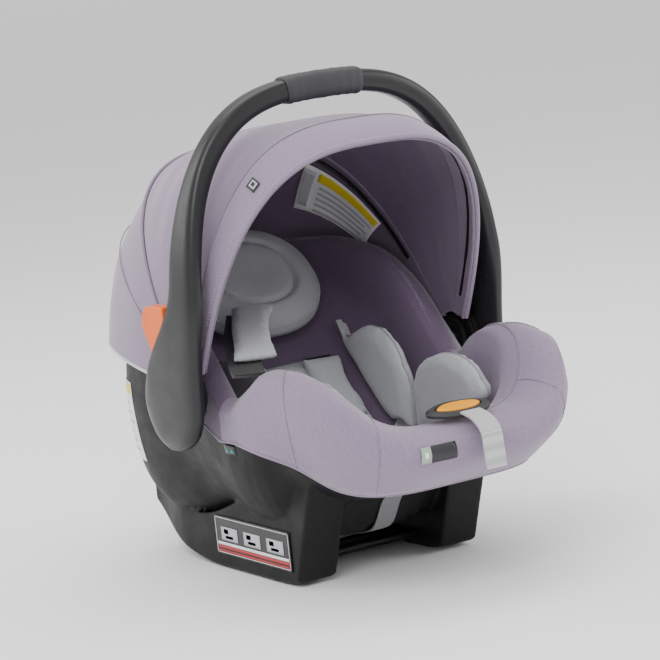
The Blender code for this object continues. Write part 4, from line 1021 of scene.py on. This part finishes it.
# ---- harness ---------------------------------------------------------------------------------
def make_harness():
    for node, paint in (("shoulder_strap_right", "strap"),
                        ("crotch_strap", "strap"), ("adjuster_webbing", "strap_grey")):
        repaint(node, paint)
    rim, over = SHELL_HALF - 0.008, follow(RIM_LINE, -0.090) + 0.0135
    left = [Vector(p) for p in ((-0.050, 0.105, 0.286), (-0.088, 0.050, 0.272), (-0.116, 0.000, 0.262),
                                (0.022 - rim, -0.040, over + 0.0135), (0.008 - rim, -0.070, over + 0.009),
                                (-rim, -0.088, over + 0.0140))]
    strap = ribbon("strap_left", left, HARNESS_WIDTH, 0.0016, "strap", (0.88, -0.47, 0.0), cup=0.0006)
    attach(strap, "seat", "webbing_black", "shoulder_strap_left")
    front = -0.2695
    route = [(0, front, 0.2015), (0, front - 0.020, 0.1965), (0, front - 0.035, 0.1845),
             (0, front - 0.0385, 0.1645), (0, front - 0.0405, 0.1435)]
    pull = ribbon("pull_strap", route, PULL_WIDTH, 0.0022, "strap_light", per_span=10)
    attach(pull, "seat", "webbing_grey", "adjuster_pull")


# ---- hard shell ------------------------------------------------------------------------------
def bucket_z(x, y, inset=0.0):
    """Height of the bucket's face over a point in plan."""
    rear = y > HUB.y
    reach = (SHELL_REAR if rear else SHELL_FRONT) - inset
    u, v = abs(x) / (SHELL_HALF - inset), abs(y - HUB.y) / reach
    low, high = 0.0, 1.0
    for _ in range(26):
        level = (low + high) / 2
        phi = level * math.pi / 2
        lean = math.copysign(v / max(math.hypot(u, v), 1e-9), y - HUB.y)
        exponent = wall_exponent(lean)
        scale, depth = math.cos(phi) ** (2 / exponent), math.sin(phi) ** (2 / exponent)
        corner = lerp(2.6, 4.2, smoothstep(depth / 0.5)) if rear else lerp(4.0, 3.2, smoothstep(depth / 0.6))
        if (u**corner + v**corner) ** (1 / corner) < scale:
            low = level
        else:
            high = level
    rim_y = HUB.y + (y - HUB.y) / max(scale, 1e-6)
    return lerp(follow(RIM_LINE, rim_y), follow(BELLY_LINE, y) + inset, depth)


def rail_bottom(y):
    """Underside of a rail: flat in the middle, curved up at both ends."""
    if y < FLAT_FRONT:
        return ROCK_FRONT - math.sqrt(ROCK_FRONT**2 - (FLAT_FRONT - y) ** 2)
    if y > FLAT_REAR:
        return ROCK_REAR - math.sqrt(ROCK_REAR**2 - (y - FLAT_REAR) ** 2)
    return 0.0


def rail_section(u, side):
    outer = lerp(RAIL_OUT, RAIL_OUT - 0.016, smoothstep((u - 0.72) / 0.28))
    base_y = lerp(RAIL_FRONT, RAIL_REAR, u)
    lean = 0.38 * (1 - smoothstep(u / 0.35))
    base = rail_bottom(base_y)

    def at(x, height):
        return Vector((side * x, base_y - lean * height, base + height))

    def wall(x, steps):
        top = bucket_z(x, base_y, 0.0015) - base
        for _ in range(4):
            top = bucket_z(x, base_y - lean * top, 0.0015) - base
        return [RAIL_CORNER + (top - RAIL_CORNER) * i / steps for i in range(1, steps + 1)]

    points = [at(outer, h) for h in reversed(wall(outer, 9))]
    points += [at(outer - RAIL_CORNER * (1 - math.cos(a)), RAIL_CORNER * (1 - math.sin(a)))
               for a in (math.pi / 2 * i / 4 for i in range(5))]
    points.append(at((outer + RAIL_IN) / 2, 0.0))
    points += [at(RAIL_IN + RAIL_CORNER * (1 - math.cos(a)), RAIL_CORNER * (1 - math.sin(a)))
               for a in (math.pi / 2 * (1 - i / 4) for i in range(5))]
    return points + [at(RAIL_IN, h) for h in wall(RAIL_IN, 9)]


def solid_sheet(name, bm, thickness):
    bmesh.ops.recalc_face_normals(bm, faces=bm.faces)
    item = build(name, bm, "shell")
    total = sum((p.center - Vector((0, HUB.y, 0.12))).dot(p.normal) * p.area for p in item.data.polygons)
    modify(item, "SOLIDIFY", thickness=thickness, offset=-1 if total > 0 else 1)
    return apply_all(item)


def make_shell():
    """Bucket and rails as one moulding, with the fillets a mould needs where they meet."""
    count = 120
    levels = [0.0, 0.04, 0.09] + [0.09 + 0.88 * k / 22 for k in range(1, 23)]
    rows = [[bucket_point(2 * math.pi * (i + 0.5) / count, level) for i in range(count)] for level in levels]
    bm, verts = grid(rows, True)
    tip = bm.verts.new(bucket_point(0.0, 1.0))
    for i in range(count):
        bm.faces.new((verts[-1][i], verts[-1][(i + 1) % count], tip))
    parts = [solid_sheet("bucket", bm, SHELL_WALL)]
    for side in (-1, 1):
        bm, verts = grid([rail_section(i / 60, side) for i in range(61)])
        for row in (verts[0], verts[-1]):
            centre = bm.verts.new(sum((v.co for v in row), Vector()) / len(row))
            for a, b in zip(row, row[1:] + row[:1]):
                bm.faces.new((a, b, centre))
        parts.append(solid_sheet("rail", bm, SHELL_WALL))
    bm = bmesh.new()
    for part in parts:
        bm.from_mesh(part.data)
        bpy.data.objects.remove(part)
    shell = build("moulded_shell", bm, "shell")
    modify(shell, "REMESH", mode="VOXEL", voxel_size=SHELL_VOXEL)
    modify(shell, "SMOOTH", factor=0.5, iterations=4)
    apply_all(shell)
    shell.data.materials.clear()
    shell.data.materials.append(M["shell"])
    shell.data.polygons.foreach_set("use_smooth", [True] * len(shell.data.polygons))
    attach(shell, "seat", "shell_black", "seat_shell")
    return shell


# ---- labels ----------------------------------------------------------------------------------
def label(name, origin, along, up, parts, body="seat", tree=None, lift=0.0002):
    """Thin printed panels, each (u0, v0, u1, v1, paint) in metres from a corner, laid on tree if given."""
    along, up = Vector(along).normalized(), Vector(up).normalized()
    out = along.cross(up)
    paints = []
    bm = bmesh.new()
    for k, (u0, v0, u1, v1, paint) in enumerate(parts):
        if paint not in paints:
            paints.append(paint)
        steps = max(2, int((u1 - u0) / 0.004)), max(2, int((v1 - v0) / 0.004))
        rows = []
        for j in range(steps[1] + 1):
            row = []
            for i in range(steps[0] + 1):
                p = Vector(origin) + along * lerp(u0, u1, i / steps[0]) + up * lerp(v0, v1, j / steps[1])
                if tree:
                    spot, normal, _, _ = tree.ray_cast(p + out * 0.08, -out)
                    if spot:
                        p = spot + (normal if normal.dot(out) > 0 else -normal) * 0.0003
                row.append(p + out * (lift + LABEL_LAYER * min(k, 2)))
            rows.append(row)
        start = len(bm.faces)
        grid(rows, bm=bm)
        bm.faces.ensure_lookup_table()
        for face in bm.faces[start:]:
            face.material_index = paints.index(paint)
            if face.normal.dot(out) < 0:
                face.normal_flip()
    item = build(name, bm, paints)
    modify(item, "SOLIDIFY", thickness=LABEL_LAYER, offset=-1)
    attach(item, body, "label_white")
    return item


def frame_lines(u0, v0, u1, v1, w, paint):
    return [(u0, v0, u1, v0 + w, paint), (u0, v1 - w, u1, v1, paint), (u0, v0, u0 + w, v1, paint),
            (u1 - w, v0, u1, v1, paint)]


def make_labels(shell, cover_tree):
    low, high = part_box("side_label")
    wide, tall = high[1] - low[1], high[2] - low[2]
    parts = [(0, 0, wide, tall, "ink"), (0.004, 0.0075, wide - 0.004, 0.0105, "label_red"),
             (0.004, 0.0115, wide - 0.004, 0.0150, "paper"),
             (0.004, 0.0035, wide - 0.004, 0.0055, "label_red")]
    for k in range(3):
        u = 0.014 + k * 0.050
        parts.append((u, 0.0175, u + 0.036, 0.0335, "label_grey"))
        parts.append((u + 0.009, 0.0200, u + 0.026, 0.0235, "teal"))
        parts.append((u + 0.006, 0.0255, u + 0.016, 0.0310, "paper"))
    parts += frame_lines(0.002, 0.002, wide - 0.002, tall - 0.002, 0.0007, "paper")
    side = label("side_panel", (low[0] - 0.0003, high[1], low[2]), (0, -1, 0), (0, 0, 1), parts)
    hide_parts("side_label")
    tree = surface(shell)
    rear = [(0, 0, 0.060, 0.098, "paper"), (0.003, 0.083, 0.057, 0.095, "label_yellow"),
            (0.003, 0.0955, 0.030, 0.0975, "label_red")]
    rear += [(0.006, 0.012 + 0.0115 * k, 0.050 - 0.004 * (k % 3), 0.0145 + 0.0115 * k, "label_grey")
             for k in range(6)]
    label("rear_panel", (-0.135, 0.262, 0.118), (0.0, -1, 0), (0.0, 0, 1), rear, tree=tree)
    tag = [(0, 0, 0.024, 0.012, "ink"), (0.004, 0.002, 0.008, 0.006, "teal"),
           (0.015, 0.002, 0.019, 0.006, "teal")]
    label("small_tag", (-0.16, -0.020, 0.158), (0, -1, 0), (0, 0, 1), tag, tree=tree)
    hem = [(0, 0, 0.044, 0.018, "ink"), (0.0, 0.0, 0.012, 0.018, "label_green"),
           (0.004, 0.006, 0.008, 0.012, "paper")]
    label("front_tag", (-0.082, -0.290, 0.160), (1, 0.0, 0), (0, 0, 1), hem, tree=cover_tree, lift=0.0012)


CAD_PAINT = {
    "shell": ("hub_boss_left", "hub_boss_right", "pivot_spacer_left", "pivot_spacer_right",
              "canopy_mount_left", "canopy_mount_right", "harness_buckle", "lever_housing"),
    "grip": ("adjuster_bezel",),
    "orange": ("release_button_left", "release_button_right", "release_lever"),
    "yellow": ("adjuster_button",),
    "red": ("buckle_button",),
    "steel": ("hub_axle_left", "hub_axle_right", "lock_gear_left", "lock_gear_right", "button_spring_left",
              "button_spring_right", "lever_spring", "buckle_tongue_right"),
    "bow": ("canopy_front_bow", "canopy_rear_bow", "latch_bar_front", "latch_bar_rear"),
    "foam": ("foam_liner",),
}


def paint_cad():
    for paint, names in CAD_PAINT.items():
        for name in names:
            repaint(name, paint)


make_camera()
make_studio()
paint_cad()
COVER = make_cover()
make_labels(make_shell(), surface(COVER))
make_canopy()
make_handle()
make_pads()
make_harness()

bpy.context.view_layer.update()
